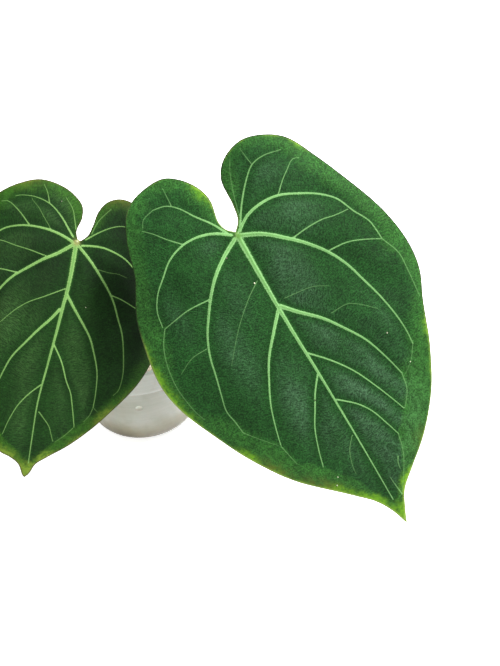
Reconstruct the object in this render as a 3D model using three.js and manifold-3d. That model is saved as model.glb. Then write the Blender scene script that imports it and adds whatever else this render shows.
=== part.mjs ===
// Potted anthurium papillilaminum: two velvet heart-shaped leaves on long stalks, grown from a
// short stem that stands in the chunky mix of a round translucent nursery pot.
// Millimetres, +Z up. The origin is the centre of the pot's flat foot.

import * as THREE from "three";
import { mergeVertices } from "three/addons/utils/BufferGeometryUtils.js";
import Module from "manifold-3d";

const wasm = await Module();
wasm.setup();

// Clearance between pieces that touch on the real plant
const seatGap = 0.3;

// Pot
const potHeight = 77;
const footRadius = 41.6;
const footRounding = 10;
const footSteps = 5;
const wallTaper = THREE.MathUtils.degToRad(5);
const wallThickness = 1.4;
const bandBottom = 56.6;
const bandStep = 1.8;
const lipHeight = 1.2;
const rimRounding = 0.7;
const potSides = 48;
const dimpleCount = 10;
const firstDimpleAngle = THREE.MathUtils.degToRad(-83);
const dimpleHeight = 41.3;
const dimpleRadius = 2.5;
const dimpleDepth = 0.8;
const dimpleSides = 12;
const drainCount = 6;
const drainRadius = 3.5;
const drainRing = 19;
const drainSides = 12;

// Potting mix
const mixTop = 69;
const mixLump = 1.6;
const coarseLumps = { x: 0.31, startX: 1.1, y: 0.27, startY: -0.4 };
const fineLumps = { x: 0.62, y: -0.5, share: 0.5 };
const mixSides = 30;
const mixRings = 5;

// Stem
const stemBottom = 40;
const stemTop = 88;
const stemRadius = 7;
const stemNodeSpacing = 8;
const stemNodeSwell = 0.5;
const stemNodePlace = 0.75;
const stemSides = 14;
const sheathHeight = 30;
const sheathRooting = 9.3;
const sheathThickness = 1.1;
const sheathLean = 6;
const sheathPoint = 0.97;
const sheathOffset = 0.1;
const sheathCells = 6;
const sheathSpan = THREE.MathUtils.degToRad(100);
const sheathAngles = [50, 165].map(THREE.MathUtils.degToRad);

// Leaf stalks
const stalkFootRadius = 2.7;
const stalkNeckRadius = 1.9;
const knuckleRadius = 2.5;
const knuckleLength = 14;
const stalkFootOffset = 3.2;
const stalkTaperShare = 1 / 3;
const stalkLower = { rise: 0.3, bulge: 1.5 };
const stalkMiddle = { along: 0.42, rise: 0.68 };
const stalkSides = 8;
const stalkSteps = 20;

// Leaf blades
const bladeThickness = 0.9;
const sheetCell = 12;
const outlineStep = 5;
const ribStep = 12;
const ribRise = 0.22;
const ribDrop = 0.42;
const ribEndWidth = 0.7;
const waveCentre = 0.3;
const bossRadius = 2.7;
const bossDepth = 2.2;
const bossOverlap = 0.2;

// Every point of a leaf is (u, v): u runs from the stalk along the midrib to the tip, and v to the
// right, seen from above with the tip towards the viewer.
const leaves = {
  right: {
    junction: [74, -60, 188],
    footAngle: -15,
    heading: -47,
    dip: 42,
    roll: -33,
    length: 166,
    halfWidth: 80,
    arch: 6,
    vee: 0.1,
    veeSoftness: 6,
    droop: [13, 13],
    wave: 1.4,
    waves: 7,
    wavePhase: 0.6,
    leftMargin: [
      [-2, 0], [-5.7, -3.6], [-10.7, -4.9], [-22.1, -3], [-30, -4.6], [-38.6, -10], [-44.6, -17.9],
      [-44.8, -27.9], [-41.8, -37.5], [-36.4, -43.6], [-25, -49.3], [-7.9, -54.6], [-1.1, -58.6],
      [10, -64.6], [24.3, -68.1], [45, -70.4], [61.4, -67.5], [79.3, -60], [98.6, -49.8],
      [119.6, -35.7], [139.6, -15.7], [148.2, -7.1], [156.4, -2.5], [165.7, 0.5],
    ],
    rightMargin: [
      [-2, 0], [-6.4, 3.9], [-14.3, 5.7], [-28.6, 7.1], [-36.1, 12.9], [-39.9, 24.3], [-37.1, 35],
      [-30, 45], [-15, 52.9], [4.3, 60.4], [27.1, 67.5], [45.7, 70], [58.6, 68.2], [73.2, 61.1],
      [93.6, 53.2], [112.9, 43.6], [129.3, 30], [140.4, 16.8], [148.9, 7.9], [158.6, 3.2],
      [165.7, 0.5],
    ],
    ribs: [
      { width: 3, line: [[0, 0], [20, -0.5], [50, -0.6], [80, 0.1], [115, 0.5], [148, 0.5]] },
      { width: 2.5, line: [[0, 0], [5.4, 10.4], [16.8, 23.6], [30, 33.9], [60, 44.3], [80, 46.8]] },
      {
        width: 1.7,
        line: [[-1.8, 2.1], [-6.1, 9.3], [-7.7, 19.3], [-5, 30.7], [12.1, 51.8], [26, 58]],
      },
      { width: 1.2, line: [[-3, 3], [-12.1, 9.3], [-20.4, 16.4], [-26.4, 23.6], [-27.4, 30.7]] },
      { width: 2.2, line: [[40, 0.7], [51.1, 10.7], [65.4, 22.1], [80.7, 30], [97.9, 34.9]] },
      { width: 1, line: [[66.4, 0.4], [80, 12.1], [96.4, 20.7], [112.9, 27.1]] },
      { width: 0.9, line: [[93.2, 1.4], [103.6, 11.4], [114.3, 16.1], [122.5, 18.7]] },
      {
        width: 2.2,
        line: [[0.7, -2.1], [8.6, -15], [19.3, -26.4], [35.7, -37.9], [54.3, -43.9], [75, -48]],
      },
      {
        width: 1.6,
        line: [[-2.1, -2.9], [-7, -10], [-9.9, -22.9], [-6.4, -35], [1.8, -45.7], [15.7, -54.3]],
      },
      { width: 1.2, line: [[-4, -4], [-15.4, -10.7], [-27.1, -18.6], [-32.3, -26.4]] },
      { width: 1.8, line: [[41.4, -1.4], [54.3, -12.9], [69.3, -22.9], [84.3, -29.6], [99.3, -33.7]] },
      { width: 1, line: [[77.9, -0.7], [92.1, -10.4], [105, -17.1], [118.9, -21.1]] },
    ],
  },
  left: {
    junction: [-14, -36, 168],
    footAngle: -165,
    heading: -109,
    dip: 48,
    roll: 28,
    length: 130,
    halfWidth: 64,
    arch: 5,
    vee: 0.1,
    veeSoftness: 5,
    droop: [9, 20],
    wave: 1.2,
    waves: 7,
    wavePhase: 2,
    leftMargin: [
      [-0.3, 0.8], [-6.3, -1.3], [-13.8, 0], [-20.6, -1.3], [-25.6, -6.9], [-28.4, -13.8], [-28.9, -24.4],
      [-24.7, -33.8], [-17.1, -43.3], [-6, -50.5], [12, -56], [35, -58], [55, -55.5], [75, -48],
      [92, -38.5], [106, -28], [114, -21.5], [118.3, -15.4], [120.3, -9.7], [123.5, -5], [129.5, -1.8],
      [130.3, -0.8],
    ],
    rightMargin: [
      [-0.3, 0.8], [-5, 5], [-11.3, 6.6], [-19.4, 7.8], [-25.9, 11.3], [-29.3, 17], [-29.5, 22.5],
      [-26, 33], [-19, 41.5], [-8, 48.5], [10, 53.5], [35, 56], [50, 55], [57.7, 53.3], [70, 48.3],
      [85.3, 38.3], [99, 28.3], [109.7, 18.3], [117.7, 8.3], [122.3, 3.3], [128, 1], [130.3, -0.8],
    ],
    ribs: [
      { width: 2.6, line: [[0, 0], [25, 0.8], [48, 0], [68, -1], [88, -1.9], [108, -1], [122, -0.4]] },
      { width: 1.6, line: [[1, 1], [10.3, 11.9], [20.9, 21.3], [30.6, 27.5], [44, 34.2], [70.3, 39]] },
      { width: 1.2, line: [[0.9, 3.1], [-0.6, 12.5], [0.8, 21.9], [4.1, 29.4], [12, 38], [24, 45]] },
      { width: 1, line: [[-2.8, 4.4], [-8.4, 10.6], [-12.8, 16.9], [-14.8, 22.5], [-14, 31]] },
      {
        width: 1.6,
        line: [[28, 0.8], [35.6, 6.9], [43.7, 13.7], [54.3, 20.3], [66.3, 25], [86.3, 27]],
      },
      { width: 0.9, line: [[56.3, 0.3], [64.3, 5.7], [74.3, 10.3], [86.3, 15.7], [98.7, 19.3]] },
      { width: 2, line: [[1, -1], [10, -11.3], [18.8, -21.3], [33, -32.5], [46, -38], [62, -42]] },
      {
        width: 1.6,
        line: [[0, -1.9], [-2.8, -11.3], [-3.6, -20.5], [-2.4, -28.8], [2.8, -38.8], [12, -46]],
      },
      { width: 1.2, line: [[-3, -2.5], [-11.6, -10], [-16.9, -16.9], [-18.9, -25], [-17, -35]] },
      { width: 1.6, line: [[37, -1], [46.3, -6.7], [58.3, -14.7], [69.7, -20.7], [90, -25]] },
      { width: 0.9, line: [[78.7, -2.3], [87.7, -9.3], [95.7, -13.3], [107.7, -16]] },
    ],
  },
};

const materials = {
  pot: new THREE.MeshStandardMaterial({ color: 0xb8baae, roughness: 0.45, metalness: 0 }),
  mix: new THREE.MeshStandardMaterial({ color: 0x5b4636, roughness: 0.95, metalness: 0 }),
  stem: new THREE.MeshStandardMaterial({ color: 0x6b6a3a, roughness: 0.8, metalness: 0 }),
  stalk: new THREE.MeshStandardMaterial({ color: 0x5f8f3c, roughness: 0.55, metalness: 0 }),
  leaf: new THREE.MeshStandardMaterial({ color: 0x2f5f2c, roughness: 0.75, metalness: 0 }),
};

// Solids for the joins and cuts, and back to geometry

function solidOf(geometry) {
  const bare = geometry.index ? geometry.clone() : geometry;
  bare.deleteAttribute("normal");
  bare.deleteAttribute("uv");
  const merged = mergeVertices(bare);
  const vertProperties = new Float32Array(merged.attributes.position.array);
  const triVerts = new Uint32Array(merged.index.array);
  return new wasm.Manifold(new wasm.Mesh({ numProp: 3, vertProperties, triVerts }));
}

function geometryOf(solid) {
  const mesh = solid.getMesh();
  const geometry = new THREE.BufferGeometry();
  geometry.setAttribute("position", new THREE.BufferAttribute(mesh.vertProperties, 3));
  geometry.setIndex(new THREE.BufferAttribute(mesh.triVerts, 1));
  geometry.computeVertexNormals();
  return geometry;
}

function namedMesh(name, geometry, material) {
  const mesh = new THREE.Mesh(geometry, material);
  mesh.name = name;
  return mesh;
}

function turned(profile, sides) {
  const points = profile.map(([radius, height]) => new THREE.Vector2(radius, height));
  return new THREE.LatheGeometry(points, sides).rotateX(Math.PI / 2);
}

// A grid of cells with a second face behind it. Both faces are split into triangles alike.
// place(alongRows, alongColumns, face) gives a vertex, with face 1 in front and -1 behind.
function gridSlab(rows, columns, place) {
  const positions = [];
  for (const face of [1, -1]) {
    for (let row = 0; row <= rows; row++) {
      for (let column = 0; column <= columns; column++) {
        positions.push(...place(row / rows, column / columns, face));
      }
    }
  }
  const faceSize = (rows + 1) * (columns + 1);
  const index = [];
  const addQuad = (a, b, c, d) => index.push(a, b, c, a, c, d);
  const corner = (row, column) => row * (columns + 1) + column;
  for (let row = 0; row < rows; row++) {
    for (let column = 0; column < columns; column++) {
      const [a, b] = [corner(row, column), corner(row + 1, column)];
      const [c, d] = [corner(row + 1, column + 1), corner(row, column + 1)];
      addQuad(a, b, c, d);
      index.push(c + faceSize, b + faceSize, a + faceSize);
      index.push(d + faceSize, c + faceSize, a + faceSize);
    }
  }
  const addWall = (from, to) => addQuad(to, from, from + faceSize, to + faceSize);
  for (let row = 0; row < rows; row++) {
    addWall(corner(row, 0), corner(row + 1, 0));
    addWall(corner(row + 1, columns), corner(row, columns));
  }
  for (let column = 0; column < columns; column++) {
    addWall(corner(0, column + 1), corner(0, column));
    addWall(corner(rows, column), corner(rows, column + 1));
  }
  const geometry = new THREE.BufferGeometry();
  geometry.setAttribute("position", new THREE.Float32BufferAttribute(positions, 3));
  geometry.setIndex(index);
  return geometry;
}

// A straight bar along z from 0 to 1 whose every vertex is then placed by place(x, y, z)
function bentBar(section, steps, place) {
  const bar = new THREE.ExtrudeGeometry(section, { depth: 1, steps, bevelEnabled: false });
  const position = bar.attributes.position;
  for (let i = 0; i < position.count; i++) {
    position.setXYZ(i, ...place(position.getX(i), position.getY(i), position.getZ(i)));
  }
  return bar;
}

function roundSection(sides) {
  const corners = [];
  for (let i = 0; i < sides; i++) {
    const angle = (2 * Math.PI * i) / sides;
    corners.push(new THREE.Vector2(Math.cos(angle), Math.sin(angle)));
  }
  return new THREE.Shape(corners);
}

// Pot

const wallRadius = (height) => footRadius + (height - footRounding) * Math.tan(wallTaper);
const bandRadius = (height) => wallRadius(height) + bandStep;

function footArc(inset, steps) {
  const points = [];
  const centreRadius = footRadius - footRounding;
  const lastAngle = Math.PI / 2 - wallTaper;
  for (let i = 0; i <= steps; i++) {
    const angle = (lastAngle * i) / steps;
    const reach = footRounding - inset;
    points.push([centreRadius + reach * Math.sin(angle), footRounding - reach * Math.cos(angle)]);
  }
  return points;
}

function potSolid() {
  const rimOuter = bandRadius(potHeight);
  const rimInner = rimOuter - wallThickness - bandStep;
  const profile = [
    [0, 0],
    ...footArc(0, footSteps),
    [wallRadius(bandBottom), bandBottom],
    [bandRadius(bandBottom), bandBottom + lipHeight],
    [rimOuter, potHeight - rimRounding],
    [rimOuter - rimRounding, potHeight],
    [rimInner + rimRounding, potHeight],
    [rimInner, potHeight - rimRounding],
    ...footArc(wallThickness, footSteps).reverse(),
    [0, wallThickness],
  ];
  let solid = solidOf(turned(profile, potSides));
  for (let i = 0; i < dimpleCount; i++) {
    const angle = firstDimpleAngle + (2 * Math.PI * i) / dimpleCount;
    const cutter = new THREE.CylinderGeometry(
      dimpleRadius, dimpleRadius / 2, 2 * dimpleDepth, dimpleSides,
    );
    cutter.rotateZ(-Math.PI / 2).rotateZ(angle);
    const reach = wallRadius(dimpleHeight);
    cutter.translate(reach * Math.cos(angle), reach * Math.sin(angle), dimpleHeight);
    solid = solid.subtract(solidOf(cutter));
  }
  for (let i = 0; i < drainCount; i++) {
    const angle = (2 * Math.PI * i) / drainCount;
    const hole = new THREE.CylinderGeometry(
      drainRadius, drainRadius, 4 * wallThickness, drainSides,
    );
    hole.rotateX(Math.PI / 2);
    hole.translate(drainRing * Math.cos(angle), drainRing * Math.sin(angle), 0);
    solid = solid.subtract(solidOf(hole));
  }
  return solid;
}

// Potting mix: fills the pot, lumpy on top, with a plain hole for the stem

function mixSurface(x, y) {
  const alongX = Math.sin(coarseLumps.x * x + coarseLumps.startX);
  const alongY = Math.cos(coarseLumps.y * y + coarseLumps.startY);
  const fine = fineLumps.share * Math.sin(fineLumps.x * x + fineLumps.y * y);
  return mixTop + mixLump * (alongX * alongY + fine);
}

function mixSolid() {
  const inset = wallThickness + seatGap;
  const edge = wallRadius(mixTop) - inset;
  const profile = [[0, inset], ...footArc(inset, footSteps), [edge, mixTop]];
  for (let ring = mixRings - 1; ring >= 0; ring--) {
    profile.push([(edge * ring) / mixRings, mixTop]);
  }
  const body = turned(profile, mixSides);
  const position = body.attributes.position;
  for (let i = 0; i < position.count; i++) {
    const [x, y, z] = [position.getX(i), position.getY(i), position.getZ(i)];
    if (Math.abs(z - mixTop) < seatGap && Math.hypot(x, y) < edge - seatGap) {
      position.setZ(i, mixSurface(x, y));
    }
  }
  const holeHeight = potHeight - stemBottom + seatGap;
  const holeRadius = stemRadius + stemNodeSwell + seatGap;
  const hole = new THREE.CylinderGeometry(holeRadius, holeRadius, holeHeight, stemSides);
  hole.rotateX(Math.PI / 2);
  hole.translate(0, 0, stemBottom - seatGap + holeHeight / 2);
  return solidOf(body).subtract(solidOf(hole));
}

// Stem: short, ringed by old leaf scars, with two papery bud sheaths grown from its side

function stemSolid() {
  const profile = [[0, stemBottom]];
  const nodeCount = Math.round((stemTop - stemBottom) / stemNodeSpacing);
  for (let i = 0; i <= nodeCount; i++) {
    const height = THREE.MathUtils.lerp(stemBottom, stemTop, i / nodeCount);
    profile.push([stemRadius, height]);
    if (i < nodeCount) {
      profile.push([stemRadius + stemNodeSwell, height + stemNodePlace * stemNodeSpacing]);
    }
  }
  profile.push([0, stemTop]);
  let solid = solidOf(turned(profile, stemSides));
  for (const middle of sheathAngles) {
    const sheath = gridSlab(sheathCells, sheathCells, (up, across, face) => {
      const narrowing = Math.sqrt(1 - sheathPoint * up ** 2);
      const angle = middle + (0.5 - across) * sheathSpan * narrowing;
      const height = stemTop - sheathRooting + sheathHeight * up;
      const lean = sheathLean * Math.max(0, (height - stemTop) / sheathHeight) ** 2;
      const radius = stemRadius + sheathOffset + lean + (face * sheathThickness) / 2;
      return [radius * Math.cos(angle), radius * Math.sin(angle), height];
    });
    solid = solid.add(solidOf(sheath));
  }
  return solid;
}

// Leaves

function leafBasis(leaf) {
  const [heading, dip, roll] = [leaf.heading, leaf.dip, leaf.roll].map(THREE.MathUtils.degToRad);
  const along = new THREE.Vector3(Math.cos(heading), Math.sin(heading), 0)
    .multiplyScalar(Math.cos(dip))
    .setZ(-Math.sin(dip));
  const level = new THREE.Vector3(Math.sin(heading), -Math.cos(heading), 0);
  const upright = new THREE.Vector3().crossVectors(along, level).negate();
  const across = new THREE.Vector3().crossVectors(upright, along);
  const normal = upright.clone().multiplyScalar(Math.cos(roll)).addScaledVector(across, Math.sin(roll));
  const side = new THREE.Vector3().crossVectors(normal, along);
  return { along, side, normal };
}

// Height of the blade's middle surface over its flat base plane
function bladeHeight(leaf, u, v) {
  const position = u / leaf.length;
  const arch = 4 * leaf.arch * position * (1 - position);
  const valley = leaf.vee * (Math.hypot(v, leaf.veeSoftness) - leaf.veeSoftness);
  const droop = (v < 0 ? leaf.droop[0] : leaf.droop[1]) * (v / leaf.halfWidth) ** 2;
  const fromMiddle = u - waveCentre * leaf.length;
  const spread = (fromMiddle ** 2 + v ** 2) / leaf.halfWidth ** 2;
  const turn = Math.atan2(v, fromMiddle);
  const wave = leaf.wave * spread * Math.sin(leaf.waves * turn + leaf.wavePhase);
  return arch + valley - droop + wave;
}

function smoothLine(points, step) {
  const curve = new THREE.CatmullRomCurve3(
    points.map(([u, v]) => new THREE.Vector3(u, v, 0)), false, "centripetal",
  );
  return { curve, steps: Math.max(3, Math.round(curve.getLength() / step)) };
}

function marginPoints(points) {
  const { curve, steps } = smoothLine(points, outlineStep);
  return curve.getSpacedPoints(steps);
}

function bladeSolid(leaf) {
  const margin = [
    ...marginPoints(leaf.rightMargin).slice(0, -1),
    ...marginPoints(leaf.leftMargin).reverse().slice(0, -1),
  ];
  const box = new THREE.Box3().setFromPoints(margin).expandByScalar(sheetCell / 2);
  const size = box.getSize(new THREE.Vector3());
  const rows = Math.round(size.x / sheetCell);
  const columns = Math.round(size.y / sheetCell);
  const sheet = gridSlab(rows, columns, (alongRows, alongColumns, face) => {
    const u = THREE.MathUtils.lerp(box.min.x, box.max.x, alongRows);
    const v = THREE.MathUtils.lerp(box.min.y, box.max.y, alongColumns);
    return [u, v, bladeHeight(leaf, u, v) + (face * bladeThickness) / 2];
  });
  const cutterDepth = 2 * leaf.halfWidth;
  const outline = new THREE.Shape(margin.map((point) => new THREE.Vector2(point.x, point.y)));
  const cutter = new THREE.ExtrudeGeometry(outline, { depth: cutterDepth, bevelEnabled: false });
  cutter.translate(0, 0, -cutterDepth / 2);
  return solidOf(sheet).intersect(solidOf(cutter));
}

// A rib stands out of both faces of the blade, more below than above
function ribSolid(leaf, rib) {
  const { curve, steps } = smoothLine(rib.line, ribStep);
  const diamond = new THREE.Shape(
    [[1, 0], [0, 1], [-1, 0], [0, -1]].map(([x, y]) => new THREE.Vector2(x, y)),
  );
  const bar = bentBar(diamond, steps, (x, y, z) => {
    const point = curve.getPointAt(z);
    const forward = curve.getTangentAt(z);
    const width = THREE.MathUtils.lerp(rib.width, ribEndWidth, z);
    const u = point.x - (forward.y * x * width) / 2;
    const v = point.y + (forward.x * x * width) / 2;
    const reach = bladeThickness / 2 + width * (y > 0 ? ribRise : ribDrop);
    return [u, v, bladeHeight(leaf, u, v) + y * reach];
  });
  return solidOf(bar);
}

function leafMesh(name, leaf) {
  let solid = bladeSolid(leaf);
  for (const rib of leaf.ribs) {
    solid = solid.add(ribSolid(leaf, rib));
  }
  const boss = new THREE.CylinderGeometry(bossRadius, bossRadius, bossDepth, stalkSides);
  boss.rotateX(Math.PI / 2);
  boss.translate(0, 0, -bladeThickness / 2 - bossDepth / 2 + bossOverlap);
  solid = solid.add(solidOf(boss));
  const mesh = namedMesh(name, geometryOf(solid), materials.leaf);
  const { along, side, normal } = leafBasis(leaf);
  mesh.quaternion.setFromRotationMatrix(new THREE.Matrix4().makeBasis(along, side, normal));
  mesh.position.set(...leaf.junction);
  return mesh;
}

// A stalk rises from the stem's top and ends in a knuckle square under the leaf's junction
function stalkMesh(name, leaf) {
  const { normal } = leafBasis(leaf);
  const junction = new THREE.Vector3(...leaf.junction);
  const outward = new THREE.Vector3(junction.x, junction.y, 0).normalize();
  const footAngle = THREE.MathUtils.degToRad(leaf.footAngle);
  const foot = new THREE.Vector3(Math.cos(footAngle), Math.sin(footAngle), 0)
    .multiplyScalar(stalkFootOffset)
    .setZ(stemTop + seatGap);
  const topDepth = bladeThickness / 2 + bossDepth - bossOverlap + seatGap;
  const top = junction.clone().addScaledVector(normal, -topDepth);
  const neck = junction.clone().addScaledVector(normal, -topDepth - knuckleLength);
  const rise = neck.z - foot.z;
  const lower = foot.clone().addScaledVector(outward, stalkLower.bulge);
  lower.setZ(foot.z + stalkLower.rise * rise);
  const middle = foot.clone().lerp(neck, stalkMiddle.along);
  middle.setZ(foot.z + stalkMiddle.rise * rise);
  const curve = new THREE.CatmullRomCurve3([foot, lower, middle, neck, top]);
  const length = curve.getLength();
  const frames = curve.computeFrenetFrames(stalkSteps);
  const stations = curve.getSpacedPoints(stalkSteps);
  const bar = bentBar(roundSection(stalkSides), stalkSteps, (x, y, z) => {
    const station = Math.round(z * stalkSteps);
    const fromTop = (1 - z) * length;
    const swell = Math.exp(-(((fromTop - knuckleLength / 2) / (knuckleLength / 2)) ** 2));
    const taper = Math.min(1, z / stalkTaperShare);
    const slender = THREE.MathUtils.lerp(stalkFootRadius, stalkNeckRadius, taper);
    const radius = slender + (knuckleRadius - stalkNeckRadius) * swell;
    const point = stations[station].clone();
    point.addScaledVector(frames.normals[station], radius * x);
    point.addScaledVector(frames.binormals[station], radius * y);
    return point.toArray();
  });
  return namedMesh(name, geometryOf(solidOf(bar)), materials.stalk);
}

const plant = new THREE.Group();
plant.add(namedMesh("pot", geometryOf(potSolid()), materials.pot));
plant.add(namedMesh("potting_mix", geometryOf(mixSolid()), materials.mix));
plant.add(namedMesh("stem", geometryOf(stemSolid()), materials.stem));
for (const [side, leaf] of Object.entries(leaves)) {
  plant.add(stalkMesh(`petiole_${side}`, leaf));
  plant.add(leafMesh(`leaf_${side}`, leaf));
}

export default plant;
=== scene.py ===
"""Potted anthurium papillilaminum: the finished leaves, stalks, stem, mix and pot on a pale floor.

A place on a leaf is (u, v) in millimetres: u runs from the stalk's junction along the midrib to the
tip, and v to the right, seen from above with the tip towards the viewer.
"""
import math

import bpy
import numpy as np
from mathutils import Matrix, Vector, noise
from mathutils.geometry import delaunay_2d_cdt


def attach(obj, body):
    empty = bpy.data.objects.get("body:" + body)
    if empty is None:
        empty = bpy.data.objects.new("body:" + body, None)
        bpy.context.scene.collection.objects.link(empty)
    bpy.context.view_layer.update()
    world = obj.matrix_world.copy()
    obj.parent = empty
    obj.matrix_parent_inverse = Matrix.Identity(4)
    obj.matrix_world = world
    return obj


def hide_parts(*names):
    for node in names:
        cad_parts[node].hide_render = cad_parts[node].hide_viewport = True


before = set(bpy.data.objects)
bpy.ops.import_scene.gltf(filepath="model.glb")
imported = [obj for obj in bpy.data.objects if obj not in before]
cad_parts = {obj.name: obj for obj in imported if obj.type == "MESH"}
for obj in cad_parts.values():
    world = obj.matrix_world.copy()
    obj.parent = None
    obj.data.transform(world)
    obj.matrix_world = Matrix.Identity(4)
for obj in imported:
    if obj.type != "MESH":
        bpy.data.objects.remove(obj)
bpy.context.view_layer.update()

MM = 0.001

# Pot
POT_HEIGHT = 77
FOOT_RADIUS = 41.6
FOOT_ROUNDING = 10
WALL_TAPER = math.radians(5)
WALL_THICKNESS = 1.4
BAND_BOTTOM = 56.6
BAND_STEP = 1.8
LIP_HEIGHT = 1.2
RIM_ROUNDING = 0.7
DIMPLE_COUNT = 10
FIRST_DIMPLE_ANGLE = math.radians(-83)
DIMPLE_HEIGHT = 41.3
DIMPLE_RADIUS = 2.5
DIMPLE_DEPTH = 0.8
DIMPLE_SPREAD_DEGREES = 4.2
DIMPLE_ROW_TOLERANCE = 0.3
DRAIN_COUNT = 6
DRAIN_RADIUS = 3.5
DRAIN_RING = 19
DRAIN_SIDES = 28

# Potting mix
MIX_TOP = 69
MIX_LUMP = 1.6
MIX_ROUGHNESS = 1.1
MIX_SIDES = 96
MIX_RINGS = 26
FINES_DEPTH = 0.8
CHUNK_COUNT = 520
PUMICE_SHARE = 0.3
PUMICE_SIZES = (1.3, 3.0)
BARK_SIZES = (1.8, 4.6)
CHUNK_DEPTH = 0.4
CHUNK_TILT = 0.45
PALE_DRIFT = (14, -34)
PALE_DRIFT_COUNT = 26
PALE_DRIFT_SPREAD = 4

# Stem
STEM_BOTTOM = 40
STEM_TOP = 88
STEM_RADIUS = 7
STEM_NODE_SPACING = 8
STEM_NODE_SWELL = 0.5
STEM_STEPS = 120
STEM_SIDES = 48
STEM_LUMP = 0.22
SHEATH_HEIGHT = 30
SHEATH_ROOTING = 9.3
SHEATH_THICKNESS = 0.7
SHEATH_LEAN = 6
SHEATH_CLEARANCE = 0.1
SHEATH_COLUMNS = 40
SHEATH_ROWS = 40
SHEATH_SPAN = math.radians(100)
SHEATH_ANGLES = [math.radians(50), math.radians(165)]

# Leaf stalks
STALK_FOOT_RADIUS = 2.7
STALK_NECK_RADIUS = 1.9
STALK_FOOT_OFFSET = 3.2
KNUCKLE_RADIUS = 2.5
KNUCKLE_LENGTH = 14
STALK_TOP_DEPTH = 2.75
STALK_LEAN = 1.5
STALK_LOWER_BEND_HEIGHT = 0.3
STALK_MIDDLE_BEND_REACH = 0.42
STALK_MIDDLE_BEND_HEIGHT = 0.68
STALK_ROOTING = 1.2
STALK_SIDES = 28
STALK_FLUTES = 5
STALK_FLUTE_DEPTH = 0.018
SEAT_GAP = 0.3

# Leaf blades
BLADE_THICKNESS = 0.7
EDGE_THICKNESS = 0.45
GRID_STEP = 1.35
MARGIN_STEP = 0.9
MARGIN_CLEARANCE = 0.45
BRIM_REACH = 0.18
VEIN_STEP = 0.9
FIELD_STEP = 1.5
FIELD_BATCH = 8000
VEIN_TAPER = 1.6
VEIN_OFFSETS = (0, 0.5, -0.5, 1.05, -1.05, 1.9, -1.9)
SMALLEST_HALF_VEIN = 0.28
MAIN_VEIN_WIDTH = 0.8
WIDEST_VEIN = 2.6
ROW_SPACING = 0.26
SPREAD_SPACING = 0.8
QUILT_HEIGHT = 0.9
QUILT_REACH = 7
GRAIN_HEIGHT = 0.5
GRAIN_LENGTH = 11
EDGE_BEND = 0.09
EDGE_BEND_REACH = 12
HEART_RADIUS = 1.7

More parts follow.
